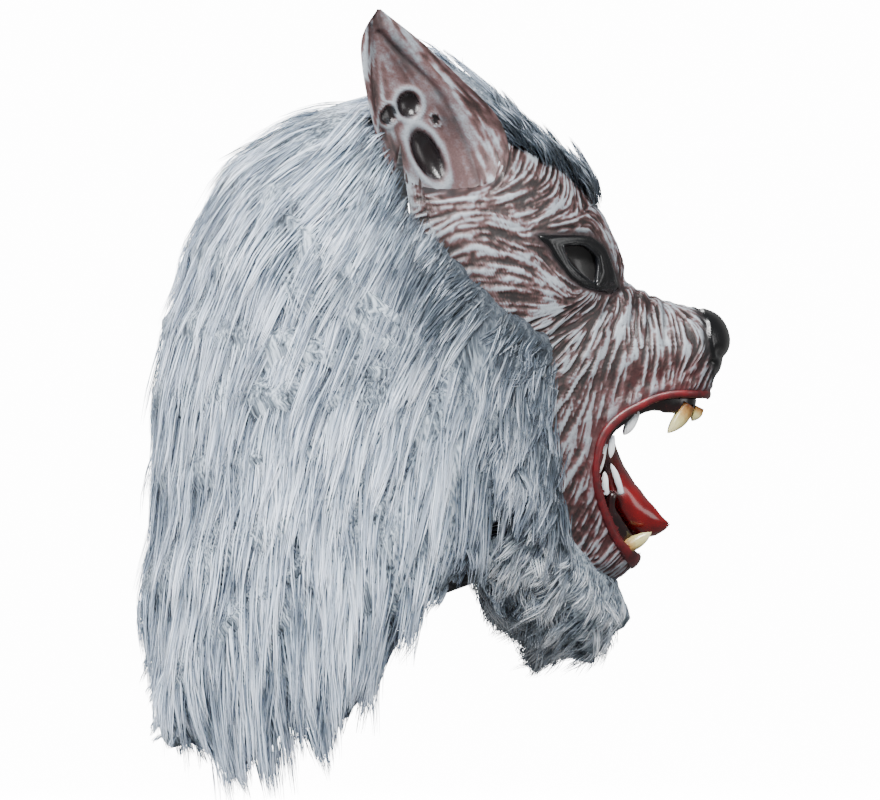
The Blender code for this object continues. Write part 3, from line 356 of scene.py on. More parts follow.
# Broad forms: right, down, half sizes and lean in squares and degrees, and height in millimetres.
SWELLINGS = [
    (578, 222, 30, 10, 12, 2.0), (572, 300, 30, 12, -20, 1.8), (545, 262, 14, 14, 0, -1.2),
    (668, 358, 34, 22, 0, 1.6), (610, 350, 14, 30, 0, -1.0), (540, 190, 34, 22, 0, 1.2),
    (608, 560, 16, 12, 0, 1.2), (700, 345, 8, 20, 10, -0.8),
]
LID_OUTLINE = [
    (534, 236), (546, 236), (560, 236), (574, 236), (590, 237), (602, 245), (609, 259), (615, 275), (619, 289),
    (611, 295), (597, 292), (582, 288), (569, 279), (557, 263), (547, 248),
]
EYE_HOLE = [
    (562, 248), (573, 246), (584, 247), (596, 258), (598, 272), (594, 285), (580, 276), (568, 264),
]
MOUTH_HOLE = [
    (754, 399), (702, 399), (681, 396), (660, 399), (641, 409), (624, 417), (611, 430), (602, 448), (599, 466),
    (600, 484), (606, 505), (614, 524), (624, 543), (635, 553), (754, 553),
]
NOSE_PAD = [
    (699, 308), (706, 324), (707, 339), (710, 352), (714, 366), (716, 380), (745, 385), (745, 296), (702, 296),
]


def face_forms(points):
    """Height in metres and paint of the face at a grid of its points."""
    marks = on_drawing(points)
    lid = signed_distance(marks, LID_OUTLINE)
    hole = signed_distance(marks, EYE_HOLE)
    mouth = signed_distance(marks, MOUTH_HOLE)
    nose = signed_distance(marks, NOSE_PAD)
    angle = grain_angle(marks, GRAIN)
    coarse = sculpted_grain(points, angle, 0.0015, 0.010, 3)
    fine = sculpted_grain(points, angle, 0.0010, 0.006, 8)
    grain = np.tanh(1.5 * (0.72 * coarse + 0.62 * fine - 0.10))
    bare = np.minimum(eased(lid, 0.5, 5.0), eased(nose, 0.0, 4.0)) * eased(mouth, 4.0, 13.0)
    grain *= bare
    height = 0.62 * grain
    for right, down, half_along, half_across, lean, rise in SWELLINGS:
        height = height + rise * mound(marks, right, down, half_along, half_across, lean)
    for half, rise, line in FOLDS:
        gap, share = line_distance(marks, line)
        height = height + rise * np.exp(-(gap / half) ** 2) * np.sqrt(np.sin(np.pi * np.clip(share, 0.06, 0.94)))
    part = np.clip(hole, 0.0, 30.0) / (np.clip(hole, 0.0, 30.0) + np.maximum(-lid, 0.0) + 1e-6)
    on_lid = (lid < 0.0) & (hole > -3.0)
    lid_rise = 2.3 * np.sin(np.pi * np.clip(part, 0.0, 1.0)) ** 0.7 + 0.5 * np.sin(3.0 * np.pi * part)
    height = np.where(on_lid, lid_rise * eased(-lid, 0.0, 2.0), height * eased(lid, -1.0, 3.0))
    height = np.where(nose < 2.0, height * eased(nose, -2.0, 2.0) + 1.5 * eased(-nose, -1.0, 3.5), height)
    nostril = mound(marks, 719.0, 354.0, 4.5, 6.0, 25.0) + 0.7 * mound(marks, 713.0, 362.0, 4.0, 2.4, 40.0)
    height = height - 3.0 * nostril
    speck = lattice_noise(points, 0.0009, 21) - 0.5
    height = height + 0.10 * speck * bare
    black = np.maximum(eased(-lid, -1.0, 1.0), eased(-nose, -1.5, 1.0))
    darkening_and_crease_shade = 0.85 * eased(-lid, -7.0, 0.0) * eased(-marks[..., 1], -300.0, -285.0)
    darkening_and_crease_shade = np.maximum(darkening_and_crease_shade, 1.1 * eased(-nose, -10.0, -2.0))
    # Painted shade: the sunken creases of the muzzle wrinkles are darkened as well.
    for half, rise, line in FOLDS[4:8]:
        gap, _ = line_distance(marks, line)
        darkening_and_crease_shade = np.maximum(darkening_and_crease_shade, 0.75 * np.exp(-(gap / half) ** 2))
    blotch = lattice_noise(points, 0.004, 5) * 0.6 + lattice_noise(points, 0.0016, 6) * 0.4
    darkening_and_crease_shade = np.clip(darkening_and_crease_shade * (0.55 + 0.9 * blotch), 0.0, 1.0)
    red = eased(-mouth, -20.0, -1.0) * (0.45 + 0.9 * blotch)
    red = np.maximum(np.clip(red, 0.0, 1.0) * 0.75, eased(-mouth, -8.0, -4.0))
    red = np.maximum(red, 0.40 * eased(-mouth, -60.0, -8.0) * eased(blotch, 0.25, 0.70))
    paint = {"grain": 0.5 + 0.5 * grain, "black": black, "darkening_and_crease_shade": darkening_and_crease_shade, "red": red}
    return height * 0.001, paint


def grid_faces(rows, columns, flip=False):
    """Faces of a grid of points, rows by columns, as an array of corners."""
    i, j = np.meshgrid(np.arange(rows - 1), np.arange(columns - 1), indexing="ij")
    a = (i * columns + j).ravel()
    faces = np.stack([a, a + 1, a + columns + 1, a + columns], axis=1)
    return faces[:, ::-1] if flip else faces


def tube_faces(rings, sides, closed=False):
    """Faces between rings of points that follow each other, and back to the first ring if closed."""
    i, k = np.meshgrid(np.arange(rings if closed else rings - 1), np.arange(sides), indexing="ij")
    i, k = i.ravel(), k.ravel()
    low, high, after = i * sides, (i + 1) % rings * sides, (k + 1) % sides
    return np.stack([low + k, low + after, high + after, high + k], axis=1)


def give_values(mesh, key, values):
    """A named value for each point of a mesh: a number, or a vector where there are rows of three."""
    values = np.asarray(values, dtype=np.float32)
    kind, field = ("FLOAT_VECTOR", "vector") if values.ndim == 2 else ("FLOAT", "value")
    mesh.attributes.new(key, kind, "POINT").data.foreach_set(field, values.ravel())


def make_piece(name, points, faces, paint=None):
    """A mesh object from points and faces, with its unused points left out and its paint as attributes."""
    used, corners = np.unique(np.concatenate([np.ravel(face) for face in faces]), return_inverse=True)
    ends = np.cumsum([len(face) for face in faces])
    mesh = bpy.data.meshes.new(name)
    mesh.from_pydata(points[used].tolist(), [], [part.tolist() for part in np.split(corners, ends[:-1])])
    for key, values in (paint or {}).items():
        give_values(mesh, key, np.ravel(values)[used])
    mesh.shade_smooth()
    piece = bpy.data.objects.new(name, mesh)
    bpy.context.scene.collection.objects.link(piece)
    return piece


def outwards(piece):
    """Faces of a closed piece turned outwards, its doubles merged first."""
    shape = bmesh.new()
    shape.from_mesh(piece.data)
    bmesh.ops.remove_doubles(shape, verts=shape.verts, dist=1e-6)
    bmesh.ops.recalc_face_normals(shape, faces=shape.faces)
    shape.to_mesh(piece.data)
    shape.free()


def place_piece(piece, material, node):
    """The piece takes its finish, rides on the mask and stands for its CAD node."""
    piece.data.materials.append(material)
    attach(piece, "root")
    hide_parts(node)


def both_sides(name, points, faces, material, node, slot, paint=None, closed=False):
    """A right-hand piece and its mirror image on the left. A {} in the CAD node's name takes the side."""
    for side, way in (("right", 1.0), ("left", -1.0)):
        turned = faces if way > 0 else [face[::-1] for face in faces]
        piece = make_piece(name + "_" + side, points * np.array([1.0, way, 1.0]), turned, paint)
        if closed:
            outwards(piece)
        place_piece(piece, material, node.format(side))


def linear(code):
    """Linear colour of an sRGB hex code."""
    parts = [int(code[i:i + 2], 16) / 255.0 for i in (1, 3, 5)]
    return tuple(p / 12.92 if p <= 0.04045 else ((p + 0.055) / 1.055) ** 2.4 for p in parts) + (1.0,)


def add_node(tree, kind, settings=None, links=None):
    """A node with its settings, and values or sockets for its inputs."""
    node = tree.nodes.new(kind)
    for key, value in (settings or {}).items():
        setattr(node, key, value)
    for key, value in (links or {}).items():
        if isinstance(value, bpy.types.NodeSocket):
            tree.links.new(value, node.inputs[key])
        else:
            node.inputs[key].default_value = value
    return node


def new_finish(name, roughness, **sockets):
    """A material with its principled shader, whose even values are set on its own sockets."""
    material = bpy.data.materials.new(name)
    material.use_nodes = True
    shader = material.node_tree.nodes["Principled BSDF"]
    shader.inputs["Roughness"].default_value = roughness
    for key, value in sockets.items():
        shader.inputs[key.replace("_", " ")].default_value = value
    return material, material.node_tree, shader


def attribute(tree, name):
    return add_node(tree, "ShaderNodeAttribute", {"attribute_name": name}).outputs["Fac"]


def blend_colours(tree, share, first, second, way="MIX"):
    """The result socket of a colour mix, its ends given as hex codes or sockets."""
    node = add_node(tree, "ShaderNodeMix", {"data_type": "RGBA", "blend_type": way})
    for socket, value in ((node.inputs[0], share), (node.inputs[6], first), (node.inputs[7], second)):
        if isinstance(value, bpy.types.NodeSocket):
            tree.links.new(value, socket)
        else:
            socket.default_value = linear(value) if isinstance(value, str) else value
    return node.outputs[2]


def colour_steps(tree, share, steps):
    """The colour of a ramp of places and hex codes."""
    node = add_node(tree, "ShaderNodeValToRGB", None, {"Fac": share})
    ramp = node.color_ramp
    while len(ramp.elements) < len(steps):
        ramp.elements.new(0.5)
    for element, (place, code) in zip(ramp.elements, steps):
        element.position = place
        element.color = linear(code)
    return node.outputs["Color"]


def noise_of(tree, scale, detail, place=None):
    """The factor of a noise texture, laid in the piece's own space where no place is given."""
    if place is None:
        place = add_node(tree, "ShaderNodeTexCoord").outputs["Object"]
    noise = add_node(tree, "ShaderNodeTexNoise", None, {"Vector": place, "Scale": scale, "Detail": detail})
    return noise.outputs["Fac"]


def reckoned(tree, operation, *values):
    """The result of a sum: ADD, MULTIPLY and so on."""
    return add_node(tree, "ShaderNodeMath", {"operation": operation}, dict(enumerate(values))).outputs[0]


def finish_off(tree, shader, colour, height=None, strength=0.0, distance=0.0):
    """The colour goes into the shader, and so does the height as bump."""
    tree.links.new(colour, shader.inputs["Base Color"])
    if height is not None:
        bump = add_node(tree, "ShaderNodeBump", None,
                        {"Strength": strength, "Distance": distance, "Height": height})
        tree.links.new(bump.outputs["Normal"], shader.inputs["Normal"])


def painted_latex():
    """Cast latex, mauve-brown, its ridges dry-brushed blue-grey, with black lids and nose in gloss paint."""
    material, tree, shader = new_finish("painted_cast_latex", 0.5, IOR=1.52, Coat_Weight=0.10, Coat_Roughness=0.25)
    pores = noise_of(tree, 900.0, 3.0)
    wander = reckoned(tree, "MULTIPLY_ADD", pores, 0.34, attribute(tree, "grain"))
    wander = reckoned(tree, "MULTIPLY_ADD", noise_of(tree, 70.0, 4.0), 0.30, wander)
    colour = colour_steps(tree, reckoned(tree, "SUBTRACT", wander, 0.32), [
        (0.00, "#130D0D"), (0.20, "#382624"), (0.46, "#584040"),
        (0.62, "#6A5C5F"), (0.80, "#7E838A"), (1.00, "#99A1A9"),
    ])
    colour = blend_colours(tree, attribute(tree, "red"), colour, "#5A0E15")
    # Dark patches round the lids, the nose and the ears, and painted shade in the creases.
    colour = blend_colours(tree, attribute(tree, "darkening_and_crease_shade"), colour, "#141113")
    black = attribute(tree, "black")
    colour = blend_colours(tree, black, colour, "#050608")
    gloss = add_node(tree, "ShaderNodeMapRange", None, {"Value": black, "To Min": 0.50, "To Max": 0.24})
    tree.links.new(gloss.outputs["Result"], shader.inputs["Roughness"])
    finish_off(tree, shader, colour, pores, 0.35, 0.0004)
    return material


# The ears are cast on the same skin, which is hollowed where their cups run down into the forehead.
EAR_HEIGHT = 0.131
EAR_WIDTH = 0.080
EAR_WALL = 0.0030
EAR_DISH = 0.018
EAR_SPREAD = 0.083
EAR_TABLE = [
    # height, rear, front, lean, dish
    (1.000, -0.545, -0.520, 1.02, 0.00),
    (0.910, -0.640, -0.330, 1.02, 0.15),
    (0.820, -0.680, -0.150, 1.01, 0.35),
    (0.670, -0.660, 0.110, 1.00, 0.65),
    (0.490, -0.600, 0.400, 0.98, 0.90),
    (0.330, -0.530, 0.510, 0.95, 1.00),
    (0.160, -0.400, 0.470, 0.91, 0.85),
    (-0.010, -0.220, 0.320, 0.86, 0.60),
]
EAR_FOOT_X = POLE_X - 0.116 * MUZZLE_REACH + 0.045 * EAR_WIDTH
EAR_FOOT_Z = POLE_Z + 0.591 * CROWN_RISE
CUP_STEPS = 18
CUP_END = 180.0
CUP_SAG = 18.0
# The skin counts as under the cup this far out from the middle, and is left out where it is all hidden.
CUP_FROM = 0.03
CUP_HIDES = 0.7


def smooth_line(values, steps, closed=False):
    """A smooth line through rows of numbers, with steps between each two of them."""
    values = np.array(values, dtype=float)
    count = len(values)
    spans = count if closed else count - 1
    result = []
    for i in range(spans):
        near = [i + k for k in (-1, 0, 1, 2)]
        four = [values[n % count if closed else min(max(n, 0), count - 1)] for n in near]
        result += [smooth_step(*four, k / steps) for k in range(steps)]
    return np.array(result if closed else result + [values[-1]])


def cup_depth(marks):
    """Sideways place of the right ear's cupped side at points of the drawing, and how far it counts there."""
    rows = smooth_line(EAR_TABLE, CUP_STEPS)[::-1]
    x, z = drawn(marks[..., 0], marks[..., 1])
    height = (z - EAR_FOOT_Z) / EAR_HEIGHT
    rear, front, lean, dish = (np.interp(height, rows[:, 0], rows[:, k]) for k in (1, 2, 3, 4))
    share = ((x - EAR_FOOT_X) / EAR_WIDTH - rear) / (front - rear)
    bow = np.clip(1.0 - (2.0 * share - 1.0) ** 2, 0.0, 1.0)
    y = -lean * EAR_SPREAD + 0.10 * EAR_WIDTH * share + dish * EAR_DISH * bow ** 0.8
    low_end = CUP_END + CUP_SAG * np.sqrt(bow)
    counts = eased(np.minimum(share, 1.0 - share), 0.0, 0.12) * eased(low_end - marks[..., 1], -3.0, 11.0)
    return y, counts


def face_sheet(columns, turns):
    """Grid of the head's right half inside the seam, its normals, and which rows end on the middle line."""
    places = even_places(FACE_FIRST_ROW, FACE_LAST_ROW, columns)
    first, last = seam_turns(places)
    first = first - SEAM_TUCK
    all_turns = first[:, None] + (last - first)[:, None] * np.linspace(0.0, 1.0, turns)[None, :]
    grid = head_points(np.repeat(places, turns), all_turns.ravel()).reshape(columns, turns, 3)
    meets = last > MIDDLE_TURN
    grid[meets, -1, 1] = 0.0
    _, _, normals = grid_slopes(grid)
    normals *= -np.sign(np.mean(normals[..., 1]))
    normals[meets, -1, 1] = 0.0
    return grid, normals, meets


def hollowed(surface, grid, meets, gap, flip=False):
    """Sinks the sheet below the ear's cup, closes it on the middle line, and returns its faces round the holes."""
    cup_y, counts = cup_depth(on_drawing(surface))
    counts = counts * (grid[..., 1] < -CUP_FROM)
    surface[..., 1] += (np.maximum(surface[..., 1], cup_y + gap) - surface[..., 1]) * counts
    surface[..., 1] = np.minimum(surface[..., 1], 0.0)
    surface[meets, -1, 1] = 0.0
    quads = grid_faces(*surface.shape[:2], flip)
    middles = on_drawing(surface.reshape(-1, 3)[quads].mean(axis=1))
    hidden = counts.ravel()[quads].min(axis=1) > CUP_HIDES
    return quads[~(inside(middles, MOUTH_HOLE) | inside(middles, EYE_HOLE) | hidden)]


latex_paint = painted_latex()
face_grid, face_normals, face_meets = face_sheet(FACE_COLUMNS, FACE_TURNS)
face_rise, face_paint = face_forms(face_grid)
face_surface = face_grid + face_normals * face_rise[..., None]
face_quads = hollowed(face_surface, face_grid, face_meets, 0.0012)
both_sides("face", face_surface.reshape(-1, 3), face_quads, latex_paint, "latex_face", "painted_latex", face_paint)

# Inner side of the face casting, bare latex seen through the eyes, the mouth and the neck. It lies one wall's
# thickness below the outer skin.
INNER_COLUMNS = 150
INNER_TURNS = 42


def bare_latex():
    """The unpainted inside of the casting: brown latex, darker and redder round the mouth."""
    material, tree, shader = new_finish("bare_latex_inside", 0.62)
    mottle = noise_of(tree, 120.0, 4.0)
    colour = colour_steps(tree, mottle, [(0.3, "#241A19"), (0.7, "#3A2A28")])
    colour = blend_colours(tree, attribute(tree, "red"), colour, "#4A0C12")
    finish_off(tree, shader, colour, mottle, 0.4, 0.0006)
    return material


inner_grid, inner_normals, inner_meets = face_sheet(INNER_COLUMNS, INNER_TURNS)
inner_wall = inner_grid - inner_normals * LATEX_WALL
inner_quads = hollowed(inner_wall, inner_grid, inner_meets, 0.004, flip=True)
inner_red = eased(-signed_distance(on_drawing(inner_wall), MOUTH_HOLE), -45.0, -12.0)
both_sides("face_inside", inner_wall.reshape(-1, 3), inner_quads, bare_latex(), "latex_face", "painted_latex",
           {"red": inner_red})

# Lips and eyelid rims: the rolled edges of the casting round the mouth and the eyes, brushed with crimson
# and with black gloss paint.
LIP_LINE = [
    # right, down, half height in squares
    (706, 396, 3.4), (690, 394.5, 3.1), (672, 395, 3.0), (655, 399, 3.2), (640, 406, 3.4), (626, 413.5, 3.6),
    (615, 422, 3.7), (606, 432, 3.6), (600, 444, 3.4), (597, 458, 3.1), (595.5, 474, 3.0), (597, 490, 3.0),
    (602, 507, 3.0), (608, 523, 3.0), (615, 537, 3.3), (622, 547, 4.0), (629, 555, 5.4), (633, 560, 6.6),
]
LINE_STEPS = 10
LIP_SIDES = 14


def head_normal(place, turn):
    """Outward direction of the head's right side."""
    ahead = head_points(place + 0.02, turn) - head_points(place - 0.02, turn)
    further = np.minimum(turn + 0.4, 90.0)
    out = head_points(place, further) - head_points(place, further - 0.8)
    normal = np.cross(out, ahead)
    normal /= np.linalg.norm(normal, axis=1)[:, None]
    return np.where((normal[:, 1:2] > 0.0), -normal, normal)


def swept(path, normals, half_up, half_out, sides, closed):
    """Points and faces of an oval band along a path, half_out thick along the normals."""
    ahead = np.roll(path, -1, axis=0) - np.roll(path, 1, axis=0)
    if not closed:
        ahead[0], ahead[-1] = path[1] - path[0], path[-1] - path[-2]
    ahead /= np.linalg.norm(ahead, axis=1)[:, None]
    side = np.cross(ahead, normals)
    side /= np.linalg.norm(side, axis=1)[:, None]
    angles = np.linspace(0.0, 2.0 * np.pi, sides, endpoint=False)
    rings = path[:, None, :] + side[:, None, :] * (np.cos(angles)[None, :, None] * half_up[:, None, None])
    rings = rings + normals[:, None, :] * (np.sin(angles)[None, :, None] * half_out[:, None, None])
    return rings.reshape(-1, 3), tube_faces(len(path), sides, closed)


def gloss_paint(name, dark, light, roughness):
    """Thick gloss paint on latex, a little uneven in its depth of colour."""
    material, tree, shader = new_finish(name, roughness, Coat_Weight=0.25, Coat_Roughness=0.12)
    patches = noise_of(tree, 150.0, 4.0)
    finish_off(tree, shader, colour_steps(tree, patches, [(0.32, dark), (0.68, light)]), patches, 0.25, 0.0005)
    return material


lip_line = smooth_line(LIP_LINE, LINE_STEPS)
lip_place, lip_turn = side_place(lip_line[:, 0], lip_line[:, 1])
steps_in = np.minimum(np.arange(len(lip_line)), np.arange(len(lip_line))[::-1])
lip_turn = 90.0 + (lip_turn - 90.0) * np.clip(steps_in / LINE_STEPS, 0.0, 1.0)
lip_right = head_points(lip_place, lip_turn)
lip_normal = head_normal(lip_place, lip_turn)
lip_right[[0, -1], 1] = 0.0
lip_normal[[0, -1], 1] = 0.0
mirror = np.array([1.0, -1.0, 1.0])
lip_path = np.vstack([lip_right, (lip_right * mirror)[-2:0:-1]])
lip_out = np.vstack([lip_normal, (lip_normal * mirror)[-2:0:-1]])
lip_out /= np.linalg.norm(lip_out, axis=1)[:, None]
lip_half = np.concatenate([lip_line[:, 2], lip_line[-2:0:-1, 2]]) * SQUARE
lips = make_piece("lips", *swept(lip_path, lip_out, 1.35 * lip_half, 0.50 * lip_half + 0.0007, LIP_SIDES, True))
outwards(lips)
place_piece(lips, gloss_paint("crimson_gloss_paint", "#40040A", "#6C0812", 0.50), "latex_face")

RIM_HALF = 0.0011
RIM_SINK = 0.0004
RIM_STEPS = 6
RIM_SIDES = 10
rim_line = smooth_line(EYE_HOLE, RIM_STEPS, closed=True)
rim_place, rim_turn = side_place(rim_line[:, 0], rim_line[:, 1])
rim_normal = head_normal(rim_place, rim_turn)
rim_path = head_points(rim_place, rim_turn) - rim_normal * RIM_SINK
rim_size = np.full(len(rim_path), RIM_HALF)
both_sides("lid_rim", *swept(rim_path, rim_normal, rim_size, 1.9 * rim_size, RIM_SIDES, True),
           gloss_paint("black_gloss_paint", "#08090C", "#12151A", 0.2), "latex_face", "painted_latex", closed=True)

# Eye cups: a shallow black cup behind each eye, painted shade that stands for the darkness inside the eye holes, so
# the eyes look dark and deep.
CUP_DEPTH = 0.0065
CUP_WALL = 0.0012
CUP_RINGS = 8
CUP_OVERLAP = 1.22
eye_middle = rim_line.mean(axis=0)
cup_points = []
for layer in (0.0, CUP_WALL):
    for k in range(CUP_RINGS):
        share = CUP_OVERLAP * (1.0 - k / (CUP_RINGS - 0.5))
        ring = eye_middle + (rim_line - eye_middle) * share
        ring_place, ring_turn = side_place(ring[:, 0], ring[:, 1])
        depth = LATEX_WALL + CUP_DEPTH * (1.0 - min(share / CUP_OVERLAP, 1.0) ** 2) + layer
        cup_points.append(head_points(ring_place, ring_turn) - head_normal(ring_place, ring_turn) * depth)
cup_sides = np.arange(len(rim_line))
layer_size = CUP_RINGS * len(rim_line)
cup_faces = []
for layer in range(2):
    cup_faces += list(tube_faces(CUP_RINGS, len(rim_line)) + layer * layer_size)
    cup_faces.append(cup_sides + (layer + 1) * layer_size - len(rim_line))
next_side = np.roll(cup_sides, -1)
cup_faces += list(np.stack([cup_sides, next_side, layer_size + next_side, layer_size + cup_sides], axis=1))
both_sides("eye_shade_cup", np.vstack(cup_points), cup_faces, gloss_paint("painted_shade_black", "#050505", "#120F10", 0.42),
           "latex_face", "painted_latex", closed=True)

# Ears: cupped leaves cast in one with the face. Their bowls are sculpted hollows with light raised rims,
# and their outer bands carry the same grooves as the forehead.
EAR_STEPS = 16
EAR_ACROSS = 56
EAR_GRAIN = [
    (366, 60, 86), (370, 120, 82), (385, 170, 118), (402, 200, 120), (400, 50, 127), (430, 80, 128),
    (460, 112, 125), (482, 148, 118), (408, 150, 112), (446, 150, 104), (490, 180, 100), (470, 205, 20),
]
EAR_BOWLS = [
    # right, down, half length, half width in squares, lean in degrees, depth in millimetres
    (409.0, 107.0, 13.8, 12.4, 90.0, 4.2), (389.0, 117.0, 10.5, 7.6, 75.0, 1.8),
    (428.0, 157.0, 29.0, 14.0, -62.0, 5.0), (435.5, 121.5, 6.0, 4.0, -70.0, 1.0),
]
EAR_FOLDS = [
    (4.6, 1.5, [(364, 42), (364, 80), (369, 116), (377, 150), (390, 184), (407, 212)]),
    (2.6, -1.5, [(372, 30), (374, 60), (377, 100), (384, 140), (396, 172), (414, 196)]),
    (2.8, -1.6, [(380, 36), (404, 60), (426, 80), (444, 102), (458, 130), (468, 152), (478, 186)]),
    (5.0, 1.3, [(386, 30), (414, 56), (436, 78), (454, 100), (468, 128), (478, 150), (488, 182)]),
    (4.0, 1.4, [(404, 182), (424, 194), (452, 199), (480, 194)]),
]
EAR_RIM_AT = 1.22
EAR_RIM_SPREAD = 0.20
EAR_RIM_TONE = 0.93


def ear_forms(points, front):
    """Height in metres and paint of an ear's front or back at a grid of its points."""
    marks = on_drawing(points)
    grain = np.tanh(1.1 * sculpted_grain(points, grain_angle(marks, EAR_GRAIN), 0.0019, 0.010, 12))
    across = np.linspace(0.0, 1.0, points.shape[1])[None, :]
    blotch = lattice_noise(points, 0.004, 15) * 0.55 + lattice_noise(points, 0.0014, 16) * 0.45
    height = 0.30 * grain
    tone = 0.50 + 0.42 * grain
    cup, black, rim = (np.zeros_like(height) for _ in range(3))
    for right, down, half_long, half_wide, lean, depth in EAR_BOWLS:
        x, y = marks[..., 0] - right, marks[..., 1] - down
        c, s = np.cos(np.radians(lean)), np.sin(np.radians(lean))
        reach = np.hypot((x * c - y * s) / half_long, (x * s + y * c) / half_wide)
        cup += depth * np.clip(1.0 - reach ** 2, 0.0, 1.0) ** 0.8
        rim = np.maximum(rim, np.exp(-((reach - EAR_RIM_AT) / EAR_RIM_SPREAD) ** 2))
        black = np.maximum(black, eased(-reach, -1.03, -0.86))
    darkening_and_crease_shade = 0.75 * mound(marks, 402, 60, 30, 12, 118.0) + 0.60 * mound(marks, 446, 122, 34, 11, 118.0)
    darkening_and_crease_shade = darkening_and_crease_shade + 0.55 * mound(marks, 396, 150, 30, 7, 112.0) + 0.8 * mound(marks, 380, 28, 6, 9)
    middle = eased(across, 0.13, 0.22) * eased(1.0 - across, 0.16, 0.26)
    tone = tone * (1.0 - 0.75 * middle) + (0.20 + 0.66 * blotch) * 0.75 * middle
    height = height * (1.0 - 0.6 * middle)
    tone = tone * (1.0 - rim) + EAR_RIM_TONE * rim
    # Raised folds are dry-brushed lighter; the sunken folds are darkened with painted shade.
    for half, rise, line in EAR_FOLDS:
        gap, _ = line_distance(marks, line)
        band = np.exp(-(gap / half) ** 2)
        height = height + rise * band
        if rise > 0.0:
            tone = tone + 0.22 * band
        else:
            darkening_and_crease_shade = darkening_and_crease_shade + 0.45 * band
    patch = mound(marks, 456, 166, 19, 7, -72.0)
    tone = tone * (1.0 - patch) + 0.34 * patch
    height = height * (1.0 - 0.8 * patch) + 1.3 * rim - cup
    height = (height if front else 0.35 * grain + cup) * eased(np.minimum(across, 1.0 - across), 0.0, 0.05)
    darkening_and_crease_shade = front * np.clip(darkening_and_crease_shade * (0.35 + 1.2 * blotch), 0.0, 0.9) * (1.0 - black)
    paint = {"grain": np.clip(tone if front else 0.5 + 0.45 * grain, 0.0, 1.0), "black": 0.94 * front * black,
             "darkening_and_crease_shade": darkening_and_crease_shade, "red": np.zeros_like(height)}
    return height * 0.001, paint


ear_rows = smooth_line(EAR_TABLE, EAR_STEPS)
across = np.linspace(0.0, 1.0, EAR_ACROSS)[None, :]
arch = 1.0 - (2.0 * across - 1.0) ** 2
ear_x = EAR_FOOT_X + (ear_rows[:, 1:2] + (ear_rows[:, 2:3] - ear_rows[:, 1:2]) * across) * EAR_WIDTH
ear_y = -ear_rows[:, 3:4] * EAR_SPREAD + 0.10 * EAR_WIDTH * across + ear_rows[:, 4:5] * EAR_DISH * arch ** 0.8
ear_z = EAR_FOOT_Z + ear_rows[:, 0:1] * EAR_HEIGHT + 0.0 * across
sheets = []
for sign, wall in ((-1.0, 0.0), (1.0, EAR_WALL)):
    sheet = np.stack([ear_x, ear_y + wall * (0.55 + 0.45 * arch), ear_z], axis=-1)
    _, _, normal = grid_slopes(sheet)
    normal *= sign * np.sign(np.mean(normal[..., 1]))
    rise, paint = ear_forms(sheet, sign < 0.0)
    sheets.append((sheet + normal * rise[..., None], paint))
(front_sheet, front_paint), (back_sheet, back_paint) = sheets
ear_points = np.concatenate([front_sheet, back_sheet[:, ::-1]], axis=1)
ear_paint = {key: np.concatenate([front_paint[key], back_paint[key][:, ::-1]], axis=1) for key in front_paint}
around = 2 * EAR_ACROSS
top = np.arange(EAR_ACROSS - 1)
low = top + (len(ear_rows) - 1) * around
tip_faces = np.stack([top, around - 1 - top, around - 2 - top, top + 1], axis=1)
foot_faces = np.stack([low, low + 1, low + around - 2 - 2 * top, low + around - 1 - 2 * top], axis=1)
ear_faces = np.concatenate([tube_faces(len(ear_rows), around), tip_faces, foot_faces])
both_sides("ear", ear_points.reshape(-1, 3), ear_faces, latex_paint, "latex_face", "painted_latex", ear_paint,
           closed=True)

# Gums, one rolled rod of dark latex inside each jaw. They are glued behind the lips and hold the teeth.
# They are thicker where the big canines are pushed through them.
GUM_GRAIN = 0.0006
GUM_SWELL = 0.0065
GUM_SWELLS = {
    # way that the gum swells, and the share of the swelling at its places
    "upper": ((0.0, 0.0, -1.0), lambda p: eased(p[:, 0], drawn(648, 0)[0], drawn(672, 0)[0])),
    "lower": ((0.8, 0.0, 0.6), lambda p: eased(-p[:, 2], -drawn(0, 498)[1], -drawn(0, 530)[1])),
}


def places_of(piece):
    """Places and normals of a piece's points."""
    read = []
    for source, key in ((piece.data.vertices, "co"), (piece.data.vertex_normals, "vector")):
        values = np.zeros(len(source) * 3)
        source.foreach_get(key, values)
        read.append(values.reshape(-1, 3))
    return read


def move_points(piece, places):
    piece.data.vertices.foreach_set("co", places.ravel())
    piece.data.update()


def finer_copy(name, node, levels, grain, cell, seed):
    """A smooth copy of a CAD node with fine unevenness."""
    piece = bpy.data.objects.new(name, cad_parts[node].data.copy())
    bpy.context.scene.collection.objects.link(piece)
    outwards(piece)
    if levels:
        rounding = piece.modifiers.new("rounding", "SUBSURF")
        rounding.levels = levels
        rounding.render_levels = levels
        finer = bpy.data.meshes.new_from_object(piece.evaluated_get(bpy.context.evaluated_depsgraph_get()))
        piece.modifiers.clear()
        piece.data = finer
    places, normals = places_of(piece)
    rise = (lattice_noise(places, cell, seed) - 0.5) * 2.0 * grain
    move_points(piece, places + normals * rise[:, None])
    piece.data.shade_smooth()
    piece.data.materials.clear()
    return piece


def swell(piece, way, amount, share):
    """Pushes out the side of a piece that faces one way, by an amount times a share of each place."""
    places, normals = places_of(piece)
    way = np.array(way) / np.linalg.norm(way)
    push = amount * share(places) * np.clip(normals @ way, 0.0, 1.0)
    move_points(piece, places + way * push[:, None])


gum_paint = gloss_paint("dark_gum_gloss_paint", "#0B0707", "#2A0C0E", 0.24)
for jaw, (way, share) in GUM_SWELLS.items():
    gum = finer_copy(jaw + "_gum_roll", jaw + "_gum", levels=1, grain=GUM_GRAIN, cell=0.005, seed=31)
    swell(gum, way, GUM_SWELL, share)
    place_piece(gum, gum_paint, jaw + "_gum")

